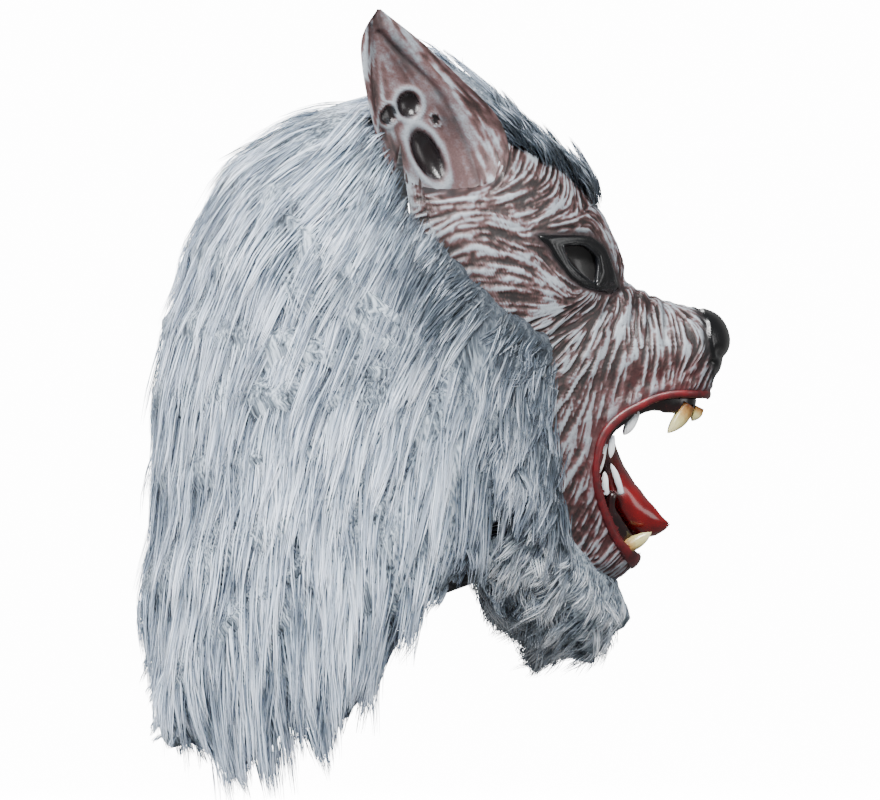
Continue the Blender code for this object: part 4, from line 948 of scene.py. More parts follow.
# Tongue: poured red latex, thick at its root and thin at its tip, with a groove down its middle. It is
# fuller below and at its tip than its CAD form.
TONGUE_GROOVE = 0.0022
TONGUE_GROOVE_HALF = 0.0045
TONGUE_SWELLS = [
    # way, amount in metres, and the places on the drawing between which it sets in
    ((-0.35, 0.0, -1.0), 0.0040, 612, 630),
    ((1.0, 0.0, 0.25), 0.0038, 622, 655),
]


def poured_red_latex():
    """Red latex under a clear gloss coat, mottled, with painted shade darkening its root towards the throat."""
    material, tree, shader = new_finish("poured_red_latex", 0.24, Coat_Weight=0.35, Coat_Roughness=0.08, IOR=1.52)
    place = add_node(tree, "ShaderNodeTexCoord").outputs["Object"]
    cloud = noise_of(tree, 55.0, 3.0, place)
    colour = colour_steps(tree, cloud, [(0.30, "#480206"), (0.52, "#6E050A"), (0.75, "#86080E")])
    # Painted shade: the rear of the tongue darkens towards the throat.
    forward = add_node(tree, "ShaderNodeSeparateXYZ", None, {0: place}).outputs["X"]
    root = add_node(tree, "ShaderNodeMapRange", None, {"Value": forward, "From Min": 0.112, "From Max": 0.138,
                                                       "To Min": 0.8, "To Max": 0.0})
    finish_off(tree, shader, blend_colours(tree, root.outputs["Result"], colour, "#2A0506"))
    return material


tongue = finer_copy("tongue_form", "tongue", levels=2, grain=0.0007, cell=0.008, seed=41)
tongue_places, tongue_normals = places_of(tongue)
facing = np.clip(tongue_normals @ np.array([0.75, 0.0, 0.65]), 0.0, 1.0)
groove = TONGUE_GROOVE * np.exp(-(tongue_places[:, 1] / TONGUE_GROOVE_HALF) ** 2) * facing
move_points(tongue, tongue_places - tongue_normals * groove[:, None])
for way, amount, none_at, full_at in TONGUE_SWELLS:
    swell(tongue, way, amount, lambda p: eased(p[:, 0], drawn(none_at, 0)[0], drawn(full_at, 0)[0]))
place_piece(tongue, poured_red_latex(), "tongue")

# Teeth: cast resin pegs pushed through the gums. The big ones are cream with a brown stain at the root, the
# narrow ones at the corners of the mouth are white.
TEETH = [
    # name, root right and down, tip right and down, half width in squares, bow in squares, stain
    ("upper_canine", 688, 404, 668, 433, 6.2, 1.6, 1.0),
    ("upper_incisor", 699, 407, 692, 421, 4.3, 0.6, 1.0),
    ("cheek_tooth_front", 636, 410, 624, 435, 3.9, 0.8, 0.0),
    ("cheek_tooth_mid", 611, 435, 610, 458, 2.7, 0.4, 0.0),
    ("cheek_tooth_rear", 605, 436, 599, 473, 3.4, -1.2, 0.0),
    ("lower_tooth_front", 621, 494, 610, 463, 2.6, -1.0, 0.0),
    ("lower_tooth_rear", 606, 495, 604, 471, 2.8, 0.4, 0.0),
    ("lower_canine", 620, 549, 651, 532, 6.0, -1.4, 1.0),
]
TOOTH_RINGS = 18
TOOTH_SIDES = 20
TOOTH_GIRTH = 1.28
TOOTH_FLATNESS = 0.82
TOOTH_POINT = 0.0003


def cast_tooth_resin(name, body, root):
    """Cast resin with a soft gloss. The stain is brushed on at the root and runs out towards the tip."""
    material, tree, shader = new_finish(name, 0.22, IOR=1.54, Coat_Weight=0.2)
    streak = noise_of(tree, 420.0, 3.0)
    reach = reckoned(tree, "MULTIPLY_ADD", streak, 0.3, attribute(tree, "along"))
    colour = colour_steps(tree, reach, [(0.16, root), (0.42, body[0]), (0.70, body[1]), (1.0, body[2])])
    finish_off(tree, shader, colour, streak, 0.2, 0.0004)
    return material


cream_resin = cast_tooth_resin("cream_tooth_resin_cast", ("#A98148", "#D4CA8A", "#E0D8A2"), "#5A2F12")
white_resin = cast_tooth_resin("white_tooth_resin_cast", ("#DDE2E8", "#F2F5F8", "#FAFBFC"), "#C6CBD1")
peg_side = np.arange(TOOTH_SIDES)
peg_next = np.roll(peg_side, -1)
last_ring = (TOOTH_RINGS - 1) * TOOTH_SIDES
root_end = np.full(TOOTH_SIDES, last_ring + TOOTH_SIDES)
peg_faces = list(tube_faces(TOOTH_RINGS, TOOTH_SIDES))
peg_faces += list(np.stack([peg_side, root_end, peg_next], axis=1))
peg_faces += list(np.stack([last_ring + peg_side, last_ring + peg_next, root_end + 1], axis=1))
for tooth, root_right, root_down, tip_right, tip_down, half, bow, stain in TEETH:
    low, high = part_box(tooth + "_right")
    y = 0.5 * (low[1] + high[1])
    rx, rz = drawn(root_right, root_down)
    tx, tz = drawn(tip_right, tip_down)
    line = np.array([tx - rx, 0.0, tz - rz])
    length = np.linalg.norm(line)
    line /= length
    over = np.cross(line, np.array([0.0, 1.0, 0.0]))
    rings, along_values = [], []
    for i in range(TOOTH_RINGS):
        t = i / (TOOTH_RINGS - 1)
        taper = 0.90 + 0.32 * t - 0.20 * t ** 2 - 0.94 * t ** (5.5 - 2.3 * stain) if t < 1.0 else 0.05
        girth = half * TOOTH_GIRTH * SQUARE * taper
        centre = np.array([rx, y, rz]) + line * (t * length) + over * (bow * SQUARE * np.sin(np.pi * t))
        for angle in 2.0 * np.pi * peg_side / TOOTH_SIDES:
            flat = 1.0 + 0.05 * np.sin(3.0 * angle + 4.0 * t)
            side = np.array([0.0, TOOTH_FLATNESS, 0.0]) * np.sin(angle)
            rings.append(centre + girth * flat * (over * np.cos(angle) + side))
        along_values += [t] * TOOTH_SIDES
    ends = [np.mean(rings[:TOOTH_SIDES], axis=0), np.mean(rings[-TOOTH_SIDES:], axis=0) + line * TOOTH_POINT]
    both_sides(tooth + "_peg", np.array(rings + ends), peg_faces, cream_resin if stain else white_resin,
               tooth + "_{}", "tooth_resin", {"along": along_values + [0.0, 1.0]}, closed=True)

# Backing of the hood: knitted cloth under the fur, from the face seam down to the neck opening. It is glued
# to the latex edge and shows only inside the neck.
def knitted_backing():
    """Black knitted polyester, matt, with stitches about 1.6 mm apart."""
    material, tree, shader = new_finish("black_knitted_backing", 0.93, Sheen_Weight=0.2)
    place = add_node(tree, "ShaderNodeTexCoord").outputs["Object"]
    bands = []
    for direction, scale, bend in (("Z", 100.0, 1.5), ("DIAGONAL", 60.0, 2.0)):
        wave = add_node(tree, "ShaderNodeTexWave", {"bands_direction": direction},
                        {"Vector": place, "Scale": scale, "Distortion": bend})
        bands.append(wave.outputs["Fac"])
    knit = reckoned(tree, "MULTIPLY", *bands)
    finish_off(tree, shader, colour_steps(tree, knit, [(0.1, "#121417"), (0.8, "#2B2F34")]), knit, 0.6, 0.0006)
    return material


hood = finer_copy("hood_cloth", "hood_backing", levels=0, grain=0.0003, cell=0.006, seed=51)
place_piece(hood, knitted_backing(), "hood_backing")

# Fur: long acrylic pile, combed back and down from the crown. Each tuft has a dark root and light tips, and
# the pile stands on a dark underfur that is sewn to the backing.
FUR_CENTRE_X = -0.03
MANE_COMB = [
    # right, down, degrees up from forwards
    (425, 100, 196), (400, 95, 200), (360, 106, 205), (300, 130, 214), (250, 150, 222), (215, 190, 236),
    (190, 240, 246), (170, 300, 256), (160, 400, 266), (165, 500, 270), (390, 190, 238), (360, 160, 228),
    (300, 200, 232),
    (395, 240, 245), (300, 300, 252), (250, 300, 254), (250, 450, 266), (300, 600, 272), (200, 620, 270),
    (230, 740, 276), (320, 730, 274), (360, 560, 270), (400, 300, 250), (450, 280, 226), (480, 310, 222),
    (520, 345, 232), (545, 380, 250), (535, 430, 258), (520, 480, 262), (470, 400, 250), (430, 500, 262),
    (440, 560, 262), (420, 620, 262), (400, 680, 266), (500, 540, 266), (560, 540, 262),
]
CREST_COMB = [
    (592, 200, 122), (575, 175, 126), (550, 145, 132), (520, 125, 138), (490, 95, 138), (460, 70, 136),
    (438, 55, 128),
]
BEARD_COMB = [
    (625, 585, 262), (600, 595, 240), (580, 590, 226), (550, 600, 250), (520, 600, 262), (490, 590, 270),
    (540, 640, 262), (590, 640, 232), (480, 570, 262), (560, 560, 240),
]
GUIDE_STEPS = 8
ROOT_SINK = 0.004
LIFT_LOW = -0.003
LIFT_HIGH = 0.0065
FLARE = 0.007
LANE_STEPS = 80
LANE_STRIDE = 8.0
LANE_SIDE = np.array([0.94, 0.34])


def pile_surface(form):
    """Corners and triangles of a fur form, and its search tree."""
    shape = bmesh.new()
    shape.from_mesh(form.data)
    bmesh.ops.triangulate(shape, faces=shape.faces)
    corners = np.array([vertex.co[:] for vertex in shape.verts])
    shape.verts.index_update()
    triangles = np.array([[vertex.index for vertex in face.verts] for face in shape.faces])
    tree = BVHTree.FromBMesh(shape)
    shape.free()
    return corners, triangles, tree


def combed(marks, table):
    """Direction on the drawing in which the pile is combed at its places, as forward and up."""
    table = np.asarray(table, dtype=float)
    gaps = (table[:, 0] - marks[..., 0, None]) ** 2 + (table[:, 1] - marks[..., 1, None]) ** 2
    weight = 1.0 / (gaps + 150.0) ** 1.5
    angle = np.radians(table[:, 2])
    way = np.stack([np.sum(weight * np.cos(angle), axis=-1), np.sum(weight * np.sin(angle), axis=-1)], axis=-1)
    return way / np.linalg.norm(way, axis=-1)[..., None]


def guide_lines(form, count, length, comb, centre, tangle, seed):
    """Middle lines of tufts that lie on a fur form, and which way is out along them."""
    rng = np.random.default_rng(seed)
    corners, triangles, tree = pile_surface(form)
    a, b, c = (corners[triangles[:, k]] for k in range(3))
    normal = np.cross(b - a, c - a)
    area = np.linalg.norm(normal, axis=1)
    normal /= np.maximum(area, 1e-12)[:, None]
    middle = (a + b + c) / 3.0
    out = middle - np.array([centre(point) for point in middle])
    out /= np.linalg.norm(out, axis=1)[:, None]
    facing = np.sum(normal * out, axis=1) > 0.35
    weight = np.where(facing, area, 0.0)
    chosen = rng.choice(len(triangles), size=count, p=weight / weight.sum())
    u, v = rng.random(count), rng.random(count)
    over = u + v > 1.0
    u, v = np.where(over, 1.0 - u, u), np.where(over, 1.0 - v, v)
    roots = a[chosen] + u[:, None] * (b - a)[chosen] + v[:, None] * (c - a)[chosen]
    lines, normals = [], []
    smooth_up = 0.35 * normal + 0.65 * out
    smooth_up /= np.linalg.norm(smooth_up, axis=1)[:, None]
    for root, up in zip(roots, smooth_up[chosen]):
        reach = length(root) * rng.uniform(0.72, 1.18)
        lift = rng.uniform(LIFT_LOW, LIFT_HIGH)
        flare = FLARE * max(0.0, rng.uniform(-3.0, 1.0))
        swing = rng.normal(0.0, tangle)
        step = reach / GUIDE_STEPS
        place, line, ups, before = root - up * ROOT_SINK, [], [], None
        for k in range(GUIDE_STEPS + 1):
            line.append(place)
            ups.append(up)
            x, z = combed(on_drawing(place), comb)
            ahead = np.array([x, 0.0, z])
            ahead = ahead - up * (ahead @ up)
            side = np.cross(up, ahead)
            ahead = ahead + side * swing
            ahead /= max(np.linalg.norm(ahead), 1e-9)
            if before is not None:
                ahead = before * 0.45 + ahead * 0.55
                ahead /= max(np.linalg.norm(ahead), 1e-9)
            before = ahead
            following = place + ahead * step
            near, near_up, _, _ = tree.find_nearest(Vector(following))
            near, near_up = np.array(near), np.array(near_up)
            share = (k + 1) / GUIDE_STEPS
            hanging = near[2] > following[2] + 0.004 and near_up[2] < -0.3
            if hanging:
                before = before * 0.6 + np.array([0.0, 0.0, -0.4])
                before /= np.linalg.norm(before)
            elif near_up @ up > 0.0:
                radial = following - centre(following)
                up = up * 0.5 + near_up * 0.2 + radial * (0.3 / np.linalg.norm(radial))
                up /= np.linalg.norm(up)
                rise = LIFT_LOW + (lift - LIFT_LOW) * min(1.0, 2.2 * share) + flare * share ** 2
                following = following * 0.45 + (near + near_up * rise) * 0.55
            place = following
        lines.append(line)
        normals.append(ups)
    lines, normals = np.array(lines), np.array(normals)
    for _ in range(3):
        lines[:, 1:-1] = 0.5 * lines[:, 1:-1] + 0.25 * (lines[:, :-2] + lines[:, 2:])
    return lines, normals


def side_locks(line, count, scatter, reach, lift, comb, tangle, seed, stand=0.15):
    """Middle lines of tufts on the right side of the head, rooted round a line of the drawing."""
    rng = np.random.default_rng(seed)
    line = smooth_line(line, 12)
    marks = line[rng.integers(0, len(line), count)] + rng.normal(0.0, scatter, (count, 2))
    step = (reach * rng.uniform(0.7, 1.2, count) / GUIDE_STEPS)[:, None]
    swing = rng.normal(0.0, tangle, count)
    height = rng.uniform(lift[0], lift[1], count)[:, None]
    lines, normals = [], []
    for k in range(GUIDE_STEPS + 1):
        place, turn = side_place(marks[:, 0], marks[:, 1])
        up = head_normal(place, turn)
        share = k / GUIDE_STEPS
        x, z = drawn(marks[:, 0], marks[:, 1])
        flat = np.stack([x, head_points(place, turn)[:, 1], z], axis=1)
        lines.append(flat + up * (0.001 + height * np.sin(0.5 * np.pi * min(1.0, stand + 1.3 * share))))
        normals.append(up)
        way = combed(marks, comb)
        turned = np.stack([way[:, 0] * np.cos(swing) - way[:, 1] * np.sin(swing),
                           way[:, 0] * np.sin(swing) + way[:, 1] * np.cos(swing)], axis=1)
        marks = marks + turned * np.array([1.0, -1.0]) * step
    return np.stack(lines, axis=1), np.stack(normals, axis=1)


def strand_lines(lines, normals, per_tuft, spread, meet, knots, wave, seed):
    """Middle lines of single strands. A tuft's strands start round its root and come together at its tip."""
    rng = np.random.default_rng(seed)
    tufts = len(lines)
    which = np.repeat(np.arange(tufts), per_tuft)
    count = len(which)
    start = rng.uniform(0.0, 0.35, count)
    end = np.minimum(start + rng.uniform(0.45, 0.85, count), 1.0)
    t = start[:, None] + (end - start)[:, None] * np.linspace(0.0, 1.0, knots)[None, :]
    scaled = np.minimum(t * GUIDE_STEPS, GUIDE_STEPS - 1e-6)
    low = scaled.astype(int)
    part = (scaled - low)[..., None]
    rows = which[:, None]
    middle = lines[rows, low] * (1 - part) + lines[rows, low + 1] * part
    up = normals[rows, low] * (1 - part) + normals[rows, low + 1] * part
    ahead = lines[rows, low + 1] - lines[rows, low]
    ahead /= np.maximum(np.linalg.norm(ahead, axis=-1), 1e-9)[..., None]
    side = np.cross(up, ahead)
    side /= np.maximum(np.linalg.norm(side, axis=-1), 1e-9)[..., None]
    radius = spread * np.sqrt(rng.random(count))
    turn = rng.uniform(0.0, 2.0 * np.pi, count)
    width = (radius * np.cos(turn))[:, None] * (meet + (1.0 - meet) * (1.0 - t) ** 0.75)
    depth = (0.45 * radius * np.sin(turn))[:, None] * (meet + (1.0 - meet) * (1.0 - t) ** 0.75)
    phase, pace = rng.uniform(0.0, 6.28, (count, 1)), rng.uniform(2.0, 5.0, (count, 1))
    width = width + wave * np.sin(pace * t + phase) * (0.3 + t)
    depth = depth + 0.6 * wave * np.cos(pace * t + 1.7 * phase) * (0.2 + t)
    points = middle + side * width[..., None] + up * depth[..., None]
    clump = np.clip(1.6 * lattice_noise(lines[:, 3], 0.016, seed) - 0.3, 0.0, 1.0)
    tuft_shade = (0.5 * clump + 0.5 * rng.random(tufts))[which]
    shade = np.clip(0.50 * tuft_shade + 0.50 * rng.random(count), 0.0, 1.0)
    tilt = rng.normal(0.0, 0.55, count)[:, None, None]
    return points, up + side * tilt, which, shade


def strand_sweep():
    """Sweeps every middle line into one flat strip. Its half width is the line's own taper times the radius."""
    tree = bpy.data.node_groups.new("fur_strand_sweep", "GeometryNodeTree")
    for name, way, kind in (("Geometry", "INPUT", "Geometry"), ("Strand radius", "INPUT", "Float"),
                            ("Strand finish", "INPUT", "Material"), ("Geometry", "OUTPUT", "Geometry")):
        tree.interface.new_socket(name, in_out=way, socket_type="NodeSocket" + kind)
    given = tree.nodes.new("NodeGroupInput").outputs
    lines = add_node(tree, "GeometryNodeMeshToCurve", None, {0: given["Geometry"]})
    taper = add_node(tree, "GeometryNodeInputNamedAttribute", {"data_type": "FLOAT"}, {"Name": "thick"})
    radius = reckoned(tree, "MULTIPLY", taper.outputs[0], given["Strand radius"])
    sized = add_node(tree, "GeometryNodeSetCurveRadius", None, {"Curve": lines.outputs[0], "Radius": radius})
    up = add_node(tree, "GeometryNodeInputNamedAttribute", {"data_type": "FLOAT_VECTOR"}, {"Name": "up"})
    faced = add_node(tree, "GeometryNodeSetCurveNormal", {"mode": "FREE"},
                     {"Curve": sized.outputs[0], "Normal": up.outputs[0]})
    width = add_node(tree, "GeometryNodeCurvePrimitiveLine", None,
                     {"Start": (0.0, -1.0, 0.0), "End": (0.0, 1.0, 0.0)})
    strips = add_node(tree, "GeometryNodeCurveToMesh", None,
                      {"Curve": faced.outputs[0], "Profile Curve": width.outputs[0],
                       "Scale": add_node(tree, "GeometryNodeInputRadius").outputs[0]})
    whole = add_node(tree, "GeometryNodeRealizeInstances", None, {0: strips.outputs[0]})
    painted = add_node(tree, "GeometryNodeSetMaterial", None,
                       {"Geometry": whole.outputs[0], "Material": given["Strand finish"]})
    tree.links.new(painted.outputs[0], tree.nodes.new("NodeGroupOutput").inputs[0])
    return tree


sweep = strand_sweep()


def grow_strands(name, points, ups, shade, seam_shade, radius, material, node):
    """One piece of fur: its strands swept along their middle lines, their flat sides turned to the ups."""
    count, knots = points.shape[:2]
    mesh = bpy.data.meshes.new(name + "_lines")
    first = ((np.arange(count) * knots)[:, None] + np.arange(knots - 1)[None, :]).ravel()
    mesh.from_pydata(points.reshape(-1, 3).tolist(), np.stack([first, first + 1], axis=1).tolist(), [])
    along = np.tile(np.linspace(0.0, 1.0, knots), count)
    give_values(mesh, "along", along)
    give_values(mesh, "thick", np.interp(along, [0.0, 0.25, 0.7, 1.0], [0.55, 1.0, 0.8, 0.14]))
    give_values(mesh, "shade", np.repeat(shade, knots))
    give_values(mesh, "seam_shade", np.repeat(seam_shade, knots))
    give_values(mesh, "up", ups.reshape(-1, 3))
    piece = bpy.data.objects.new(name, mesh)
    bpy.context.scene.collection.objects.link(piece)
    growth = piece.modifiers.new("strands", "NODES")
    growth.node_group = sweep
    names = {item.name: item.identifier for item in sweep.interface.items_tree if item.in_out == "INPUT"}
    growth[names["Strand radius"]] = radius
    growth[names["Strand finish"]] = material
    grown = bpy.data.meshes.new_from_object(piece.evaluated_get(bpy.context.evaluated_depsgraph_get()))
    piece.modifiers.clear()
    piece.data = grown
    grown.shade_smooth()
    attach(piece, "root")
    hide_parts(node)


def acrylic_pile(name, root, body, tip, streak):
    """Acrylic strands, silky, dark at the root and paler to the tip, with darker strands among them, and painted
    shade on strands by the face seam.
    """
    material, tree, shader = new_finish(name, 0.42, Specular_IOR_Level=0.4, Sheen_Weight=0.15)
    along = attribute(tree, "along")
    colour = colour_steps(tree, along, [(0.0, root), (0.30, body), (0.70, tip), (1.0, tip)])
    tone = colour_steps(tree, attribute(tree, "shade"), [
        (0.14, streak), (0.34, "#8C96A1"), (0.52, "#E2E8EE"), (0.72, "#FFFFFF"),
    ])
    colour = blend_colours(tree, 0.95, colour, tone, "MULTIPLY")
    # Painted shade: strands near the face seam darken from the root to past their middle.
    shaded = add_node(tree, "ShaderNodeMapRange", None, {"Value": along, "From Min": 0.45, "From Max": 1.0,
                                                         "To Min": 1.0, "To Max": 0.15})
    share = reckoned(tree, "MULTIPLY", attribute(tree, "seam_shade"), shaded.outputs[0])
    finish_off(tree, shader, blend_colours(tree, share, colour, root))
    return material


def comb_lanes(piece, comb, seam_shadow=False):
    """Gives the underfur its lanes: places across the comb, so that its streaks run the way the pile does."""
    places, _ = places_of(piece)
    marks = on_drawing(places)
    slow = 0.02 * marks[:, 1]
    shadow = eased(-line_distance(marks, SEAM_LINE)[0], -85.0, -10.0) if seam_shadow else 0.0 * slow
    for _ in range(LANE_STEPS):
        marks = marks - LANE_STRIDE * combed(marks, comb) * np.array([1.0, -1.0])
    give_values(piece.data, "lanes", np.stack([marks @ LANE_SIDE, places[:, 1] / SQUARE, slow], axis=1))
    give_values(piece.data, "shadow", shadow)


def underfur(name, dark, middle, light):
    """Dense underfur below the long strands, mostly dark, with streaks about one strand wide, and darkened further
    with painted shade behind the face seam.
    """
    material, tree, shader = new_finish(name, 0.8)
    lanes = add_node(tree, "ShaderNodeAttribute", {"attribute_name": "lanes"}).outputs["Vector"]
    layers = []
    for scale, detail in (((0.10, 0.10, 0.6), 2.0), ((0.55, 0.55, 1.0), 3.0)):
        stretched = add_node(tree, "ShaderNodeMapping", None, {"Vector": lanes, "Scale": scale})
        layers.append(noise_of(tree, 1.0, detail, stretched.outputs[0]))
    clumps, streaks = layers
    both = reckoned(tree, "MULTIPLY_ADD", clumps, 0.5, streaks)
    colour = colour_steps(tree, both, [(0.56, dark), (0.74, middle), (0.95, light)])
    # Painted shade: the underfur darkens behind the face seam.
    depth = reckoned(tree, "MULTIPLY", attribute(tree, "shadow"), 0.8)
    finish_off(tree, shader, blend_colours(tree, depth, colour, dark), both, 0.9, 0.0015)
    return material


def hood_centre(point):
    return np.array([FUR_CENTRE_X, 0.0, np.clip(point[2], -0.40, -0.07)])


def mane_length(root):
    """Length of a tuft: long at the back, short by the face seam and at the crown."""
    gap, _ = line_distance(on_drawing(root)[None, :], SEAM_LINE)
    full = 0.046 + 0.040 * float(eased(gap, 10.0, 120.0)[0])
    right, down = on_drawing(root)
    below = (np.interp(right, *np.array(MANE_EDGE).T) + 20.0 - down) * SQUARE
    return min(full, max(0.010, below))


SEAM_LINE = [(POLE_RIGHT + f * REACH_SQUARES, POLE_DOWN - u * RISE_SQUARES) for f, u in FACE_SEAM[1:]]
# Lower edge of the mane on the drawing, with its locks and the notches between them.
MANE_EDGE = [
    (140, 610), (163, 700), (180, 735), (198, 765), (209, 779), (224, 778), (242, 750), (254, 775), (275, 776),
    (286, 745), (293, 712), (303, 739), (316, 762), (329, 738), (344, 702), (359, 680), (375, 702), (395, 708),
    (408, 680), (418, 645), (433, 605), (448, 585), (455, 546), (480, 560), (520, 580), (600, 580),
]
MANE_TUFTS = 1850
MANE_STRANDS = 20
# Tufts that are laid over the edge of the face, behind the ear and on the cheek.
LAID_TUFTS = [
    # count, scatter and reach in squares, lift in metres, tangle, seed, share of the lift at the root, root line
    (280, 4.0, 52.0, (0.007, 0.019), 0.18, 73, 0.45,
     [(408, 222), (426, 238), (444, 256), (463, 275), (487, 302), (518, 328), (533, 350), (535, 400), (532, 440),
      (536, 470), (545, 506)]),
    (90, 3.0, 100.0, (0.012, 0.024), 0.06, 74, 0.5, [(380, 130), (388, 158), (397, 185), (406, 208), (414, 224)]),
    (140, 7.0, 110.0, (0.018, 0.026), 0.06, 76, 0.5,
     [(370, 152), (374, 175), (384, 200), (400, 230), (430, 264), (462, 300)]),
    (110, 14.0, 56.0, (0.012, 0.020), 0.16, 75, 0.15, [(470, 330), (500, 370), (512, 420), (510, 465)]),
]
# Tufts combed back over the crown, from the rear of the crest over the edge of the latex between the ears.
CROWN_TUFTS = 110
CROWN_HALF_WIDTH = 0.050
CROWN_REACH = 0.050
CROWN_ROOTS = (-0.016, 0.005)
CROWN_PATH = [(-0.070, -0.014), (-0.056, -0.010), (-0.038, -0.006), (-0.020, 0.000), (0.004, 0.003)]
# The crown falls away to both sides by this much times the square of the way out, at two places along it.
CROWN_ARCH = [(-0.056, 3.0), (-0.020, 6.0)]
# The mane is darkened with painted shade behind the seam of the face, between these distances in squares from it,
# and below the ears.
SEAM_SHADE = (-115.0, -12.0)
SHADE_BELOW_EARS = (190.0, 280.0)
silver_pile = acrylic_pile("silver_acrylic_pile", "#2C3640", "#B4C2D1", "#E6EFFC", "#434F5B")
mane_under = underfur("grey_underfur", "#262D35", "#66727E", "#BCC8D4")
under = finer_copy("mane_underfur", "fur_hood", levels=1, grain=0.002, cell=0.006, seed=61)
comb_lanes(under, MANE_COMB, seam_shadow=True)
place_piece(under, mane_under, "fur_hood")
mane_lines, mane_ups = guide_lines(under, MANE_TUFTS, mane_length, MANE_COMB, hood_centre, tangle=0.07, seed=71)
for count, scatter, reach, lift, tangle, seed, stand, roots in LAID_TUFTS:
    laid, laid_ups = side_locks(roots, count, scatter, reach, lift, MANE_COMB, tangle, seed, stand)
    mane_lines = np.concatenate([mane_lines, laid, laid * mirror])
    mane_ups = np.concatenate([mane_ups, laid_ups, laid_ups * mirror])
crown_rng = np.random.default_rng(77)
across = crown_rng.uniform(-CROWN_HALF_WIDTH, CROWN_HALF_WIDTH, CROWN_TUFTS)[:, None]
crown_x = crown_rng.uniform(*CROWN_ROOTS, CROWN_TUFTS)[:, None]
crown_x = crown_x - CROWN_REACH * np.linspace(0.0, 1.0, GUIDE_STEPS + 1)
arch = np.interp(crown_x, *np.array(CROWN_ARCH).T)
crown_z = np.interp(crown_x, *np.array(CROWN_PATH).T) - arch * across ** 2
crown_ups = np.stack([0.25 + 0.0 * crown_x, 2.0 * arch * across, np.ones(crown_x.shape)], axis=2)
crown_ups /= np.linalg.norm(crown_ups, axis=2)[..., None]
mane_lines = np.concatenate([mane_lines, np.stack([crown_x, across + 0.0 * crown_x, crown_z], axis=2)])
mane_ups = np.concatenate([mane_ups, crown_ups])
mane_points, strand_ups, tuft, shade = strand_lines(
    mane_lines, mane_ups, MANE_STRANDS, spread=0.0075, meet=0.35, knots=4, wave=0.0007, seed=72)
# Painted shade on strands rooted near the face seam, below the ears.
root_marks = on_drawing(mane_lines[:, 0])[tuft]
seam_gap, _ = line_distance(root_marks, SEAM_LINE)
uneven = np.random.default_rng(5).uniform(0.55, 1.1, len(seam_gap)).clip(0.0, 1.0)
seam_shade = eased(-seam_gap, *SEAM_SHADE) * uneven * eased(root_marks[:, 1], *SHADE_BELOW_EARS)
right_side = mane_lines[:, 0][tuft][:, 1] < 0.0
for side, own in (("right", right_side), ("left", ~right_side)):
    grow_strands("mane_strands_" + side, mane_points[own], strand_ups[own], shade[own], seam_shade[own],
                 radius=0.00040, material=silver_pile, node="fur_hood")

# Crest: a forelock between the ears, its dark roots along the latex deepened with painted shade, and its light tips
# combed up and back.
CREST_ROOTS = [(500, 132), (519, 146), (536, 156), (554, 170), (572, 184), (586, 196), (597, 208)]
CREST_TIP = [(530, 130), (500, 100), (468, 70), (434, 43)]
CREST_TIP_TUFTS = 5
CREST_TUFTS = 170
CREST_TUFT_LENGTH = 0.034
CREST_STRANDS = 24


def crest_centre(point):
    return np.array([point[0] - 0.05, 0.0, point[2] - 0.10])


crest_under = finer_copy("crest_underfur", "crest_fur", levels=1, grain=0.0012, cell=0.004, seed=81)
comb_lanes(crest_under, CREST_COMB)
place_piece(crest_under, mane_under, "crest_fur")
crest_lines, crest_ups = guide_lines(crest_under, CREST_TUFTS, lambda root: CREST_TUFT_LENGTH, CREST_COMB,
                                     crest_centre, tangle=0.12, seed=82)
laid, laid_ups = side_locks(CREST_ROOTS, count=90, scatter=2.5, reach=50.0, lift=(0.003, 0.011), comb=CREST_COMB,
                            tangle=0.12, seed=84)
tip_line = smooth_line([(x, 0.0, z) for x, z in (drawn(*mark) for mark in CREST_TIP)], 3)[:GUIDE_STEPS + 1]
tip_lines = np.repeat(tip_line[None], CREST_TIP_TUFTS, axis=0)
tip_ups = np.broadcast_to(np.array([0.35, -0.75, 0.55]), tip_lines.shape)
crest_lines = np.concatenate([crest_lines, laid, laid * mirror, tip_lines])
crest_ups = np.concatenate([crest_ups, laid_ups, laid_ups * mirror, tip_ups])
crest_points, strand_ups, tuft, shade = strand_lines(
    crest_lines, crest_ups, CREST_STRANDS, spread=0.0045, meet=0.25, knots=4, wave=0.0006, seed=83)
# Painted shade on strands rooted near the crest's line along the latex.
crest_gap, _ = line_distance(on_drawing(crest_lines[:, 0])[tuft], CREST_ROOTS)
grow_strands("crest_strands", crest_points, strand_ups, shade, eased(-crest_gap, -26.0, -4.0),
             radius=0.00034, material=silver_pile, node="crest_fur")

# Beard: the matted tuft under the jaw, darker than the mane, its strands crossing each other.
# Its rear edge on the drawing, where a gap parts it from the mane.
BEARD_REAR = [(452, 535), (462, 555), (474, 571), (486, 593), (498, 614), (520, 631), (534, 665)]
BEARD_TUFTS = 620
BEARD_TUFT_LENGTH = 0.027
BEARD_STRANDS = 22
BEARD_CLEAR = 4.0


def beard_centre(point):
    return np.array([0.05, 0.0, -0.27])


def beard_rear(places, clear=0.0):
    """Forward place of the beard's rear edge beside each place, moved forward by some squares."""
    return drawn(np.interp(on_drawing(places)[:, 1], *np.array(BEARD_REAR).T[::-1]) + clear, 0.0)[0]


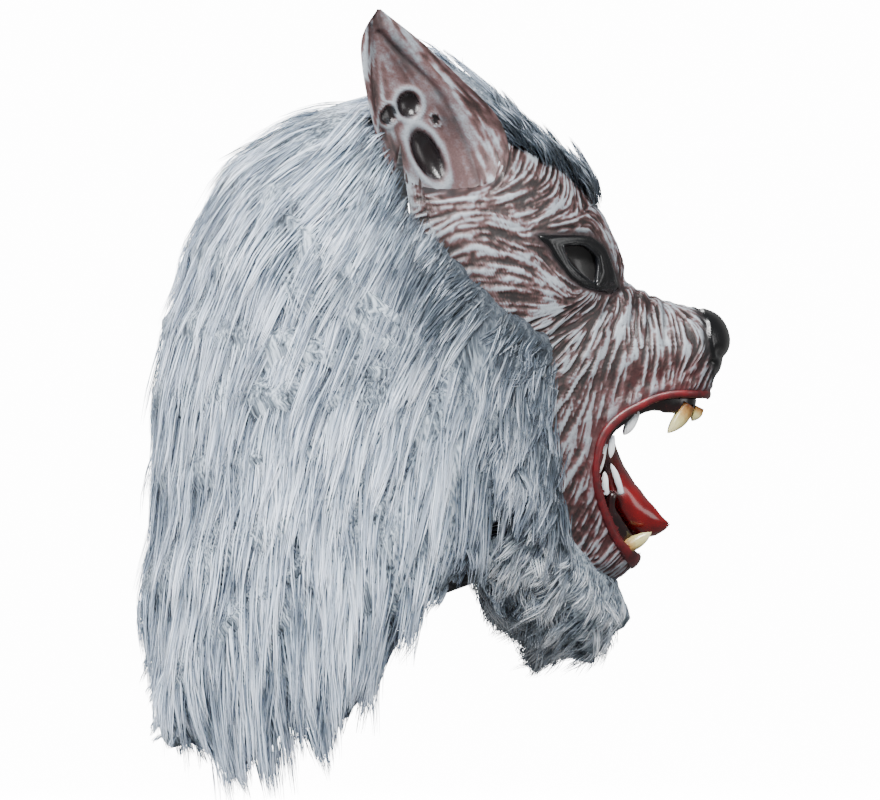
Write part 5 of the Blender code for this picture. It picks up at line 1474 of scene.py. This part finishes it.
tangled_pile = acrylic_pile("grey_tangled_pile", "#444E58", "#CDD7E1", "#FAFCFF", "#59646F")
beard_under = finer_copy("beard_underfur", "beard_fur", levels=1, grain=0.0015, cell=0.004, seed=91)
beard_places, _ = places_of(beard_under)
beard_places[:, 0] = np.maximum(beard_places[:, 0], beard_rear(beard_places))
move_points(beard_under, beard_places)
comb_lanes(beard_under, BEARD_COMB)
beard_depth = underfur("black_grey_underfur", "#252C33", "#6C7884", "#B6C1CC")
place_piece(beard_under, beard_depth, "beard_fur")
beard_lines, beard_ups = guide_lines(beard_under, BEARD_TUFTS, lambda root: BEARD_TUFT_LENGTH, BEARD_COMB,
                                     beard_centre, tangle=0.50, seed=92)
kept = beard_lines[:, 0, 0] > beard_rear(beard_lines[:, 0], BEARD_CLEAR)
beard_points, strand_ups, _, shade = strand_lines(
    beard_lines[kept], beard_ups[kept], BEARD_STRANDS, spread=0.007, meet=0.45, knots=4, wave=0.0012, seed=93)
grow_strands("beard_strands", beard_points, strand_ups, shade, np.zeros(len(shade)),
             radius=0.00032, material=tangled_pile, node="beard_fur")

# Stand-in studio: a round white paper sweep that closes the view from every side, soft boxes and an even sky.
FLOOR_Z = -0.52
SWEEP_CENTRE = 0.0001
SWEEP_RADIUS = 15.0
SWEEP_BEND = 2.0
SWEEP_HEIGHT = 16.0
SWEEP_SIDES = 64
SWEEP_BEND_STEPS = 13
bend = np.radians(np.linspace(0.0, 90.0, SWEEP_BEND_STEPS))
profile = [(SWEEP_CENTRE, FLOOR_Z)]
profile += [(SWEEP_RADIUS - SWEEP_BEND * (1.0 - np.sin(a)), FLOOR_Z + SWEEP_BEND * (1.0 - np.cos(a)))
            for a in bend]
profile += [(SWEEP_RADIUS, SWEEP_HEIGHT)]
around = np.linspace(0.0, 2.0 * np.pi, SWEEP_SIDES, endpoint=False)
paper_points = np.array([(r * np.cos(a), r * np.sin(a), z) for r, z in profile for a in around])
paper = make_piece("paper_sweep", paper_points, tube_faces(len(profile), SWEEP_SIDES))
paper_finish, _, _ = new_finish("white_paper", 0.95, Base_Color=linear("#FFFFFF"), Emission_Color=linear("#FFFFFF"),
                                Emission_Strength=14.0)
paper.data.materials.append(paper_finish)
paper.visible_diffuse = False
paper.visible_glossy = False


def soft_box(name, place, target, width, height, power):
    data = bpy.data.lights.new(name, "AREA")
    data.shape = "RECTANGLE"
    data.size = width
    data.size_y = height
    data.energy = power
    lamp = bpy.data.objects.new(name, data)
    lamp.location = place
    lamp.rotation_mode = "QUATERNION"
    lamp.rotation_quaternion = (Vector(target) - Vector(place)).to_track_quat("-Z", "Y")
    bpy.context.scene.collection.objects.link(lamp)


soft_box("key_box", (0.2, -1.5, 1.3), (0.0, 0.0, -0.2), 0.7, 0.7, 92.0)
soft_box("fill_box", (-1.6, -1.3, 0.5), (-0.08, 0.0, -0.2), 0.8, 1.2, 96.0)
soft_box("front_box", (1.9, -0.9, 0.1), (0.05, 0.0, -0.2), 0.6, 1.2, 9.0)
soft_box("back_box", (-0.5, 1.7, 0.7), (0.0, 0.0, -0.2), 1.0, 1.0, 70.0)
world = bpy.data.worlds.new("even_sky")
world.use_nodes = True
world.node_tree.nodes["Background"].inputs["Color"].default_value = (1.0, 1.0, 1.0, 1.0)
world.node_tree.nodes["Background"].inputs["Strength"].default_value = 0.30
bpy.context.scene.world = world

CAMERA_GAP = 9.0
SENSOR = 36.0
FRAME_WIDTH = 880.0 * SQUARE
camera_data = bpy.data.cameras.new("side_camera")
camera_data.type = "PERSP"
camera_data.sensor_width = SENSOR
camera_data.lens = SENSOR * CAMERA_GAP / FRAME_WIDTH
camera_data.clip_end = 50.0
camera = bpy.data.objects.new("side_camera", camera_data)
middle_x, middle_z = drawn(440.0, 400.0)
camera.location = (middle_x, -CAMERA_GAP, middle_z)
camera.rotation_mode = "QUATERNION"
camera.rotation_quaternion = Vector((0.0, 1.0, 0.0)).to_track_quat("-Z", "Y")
bpy.context.scene.collection.objects.link(camera)
bpy.context.scene.camera = camera
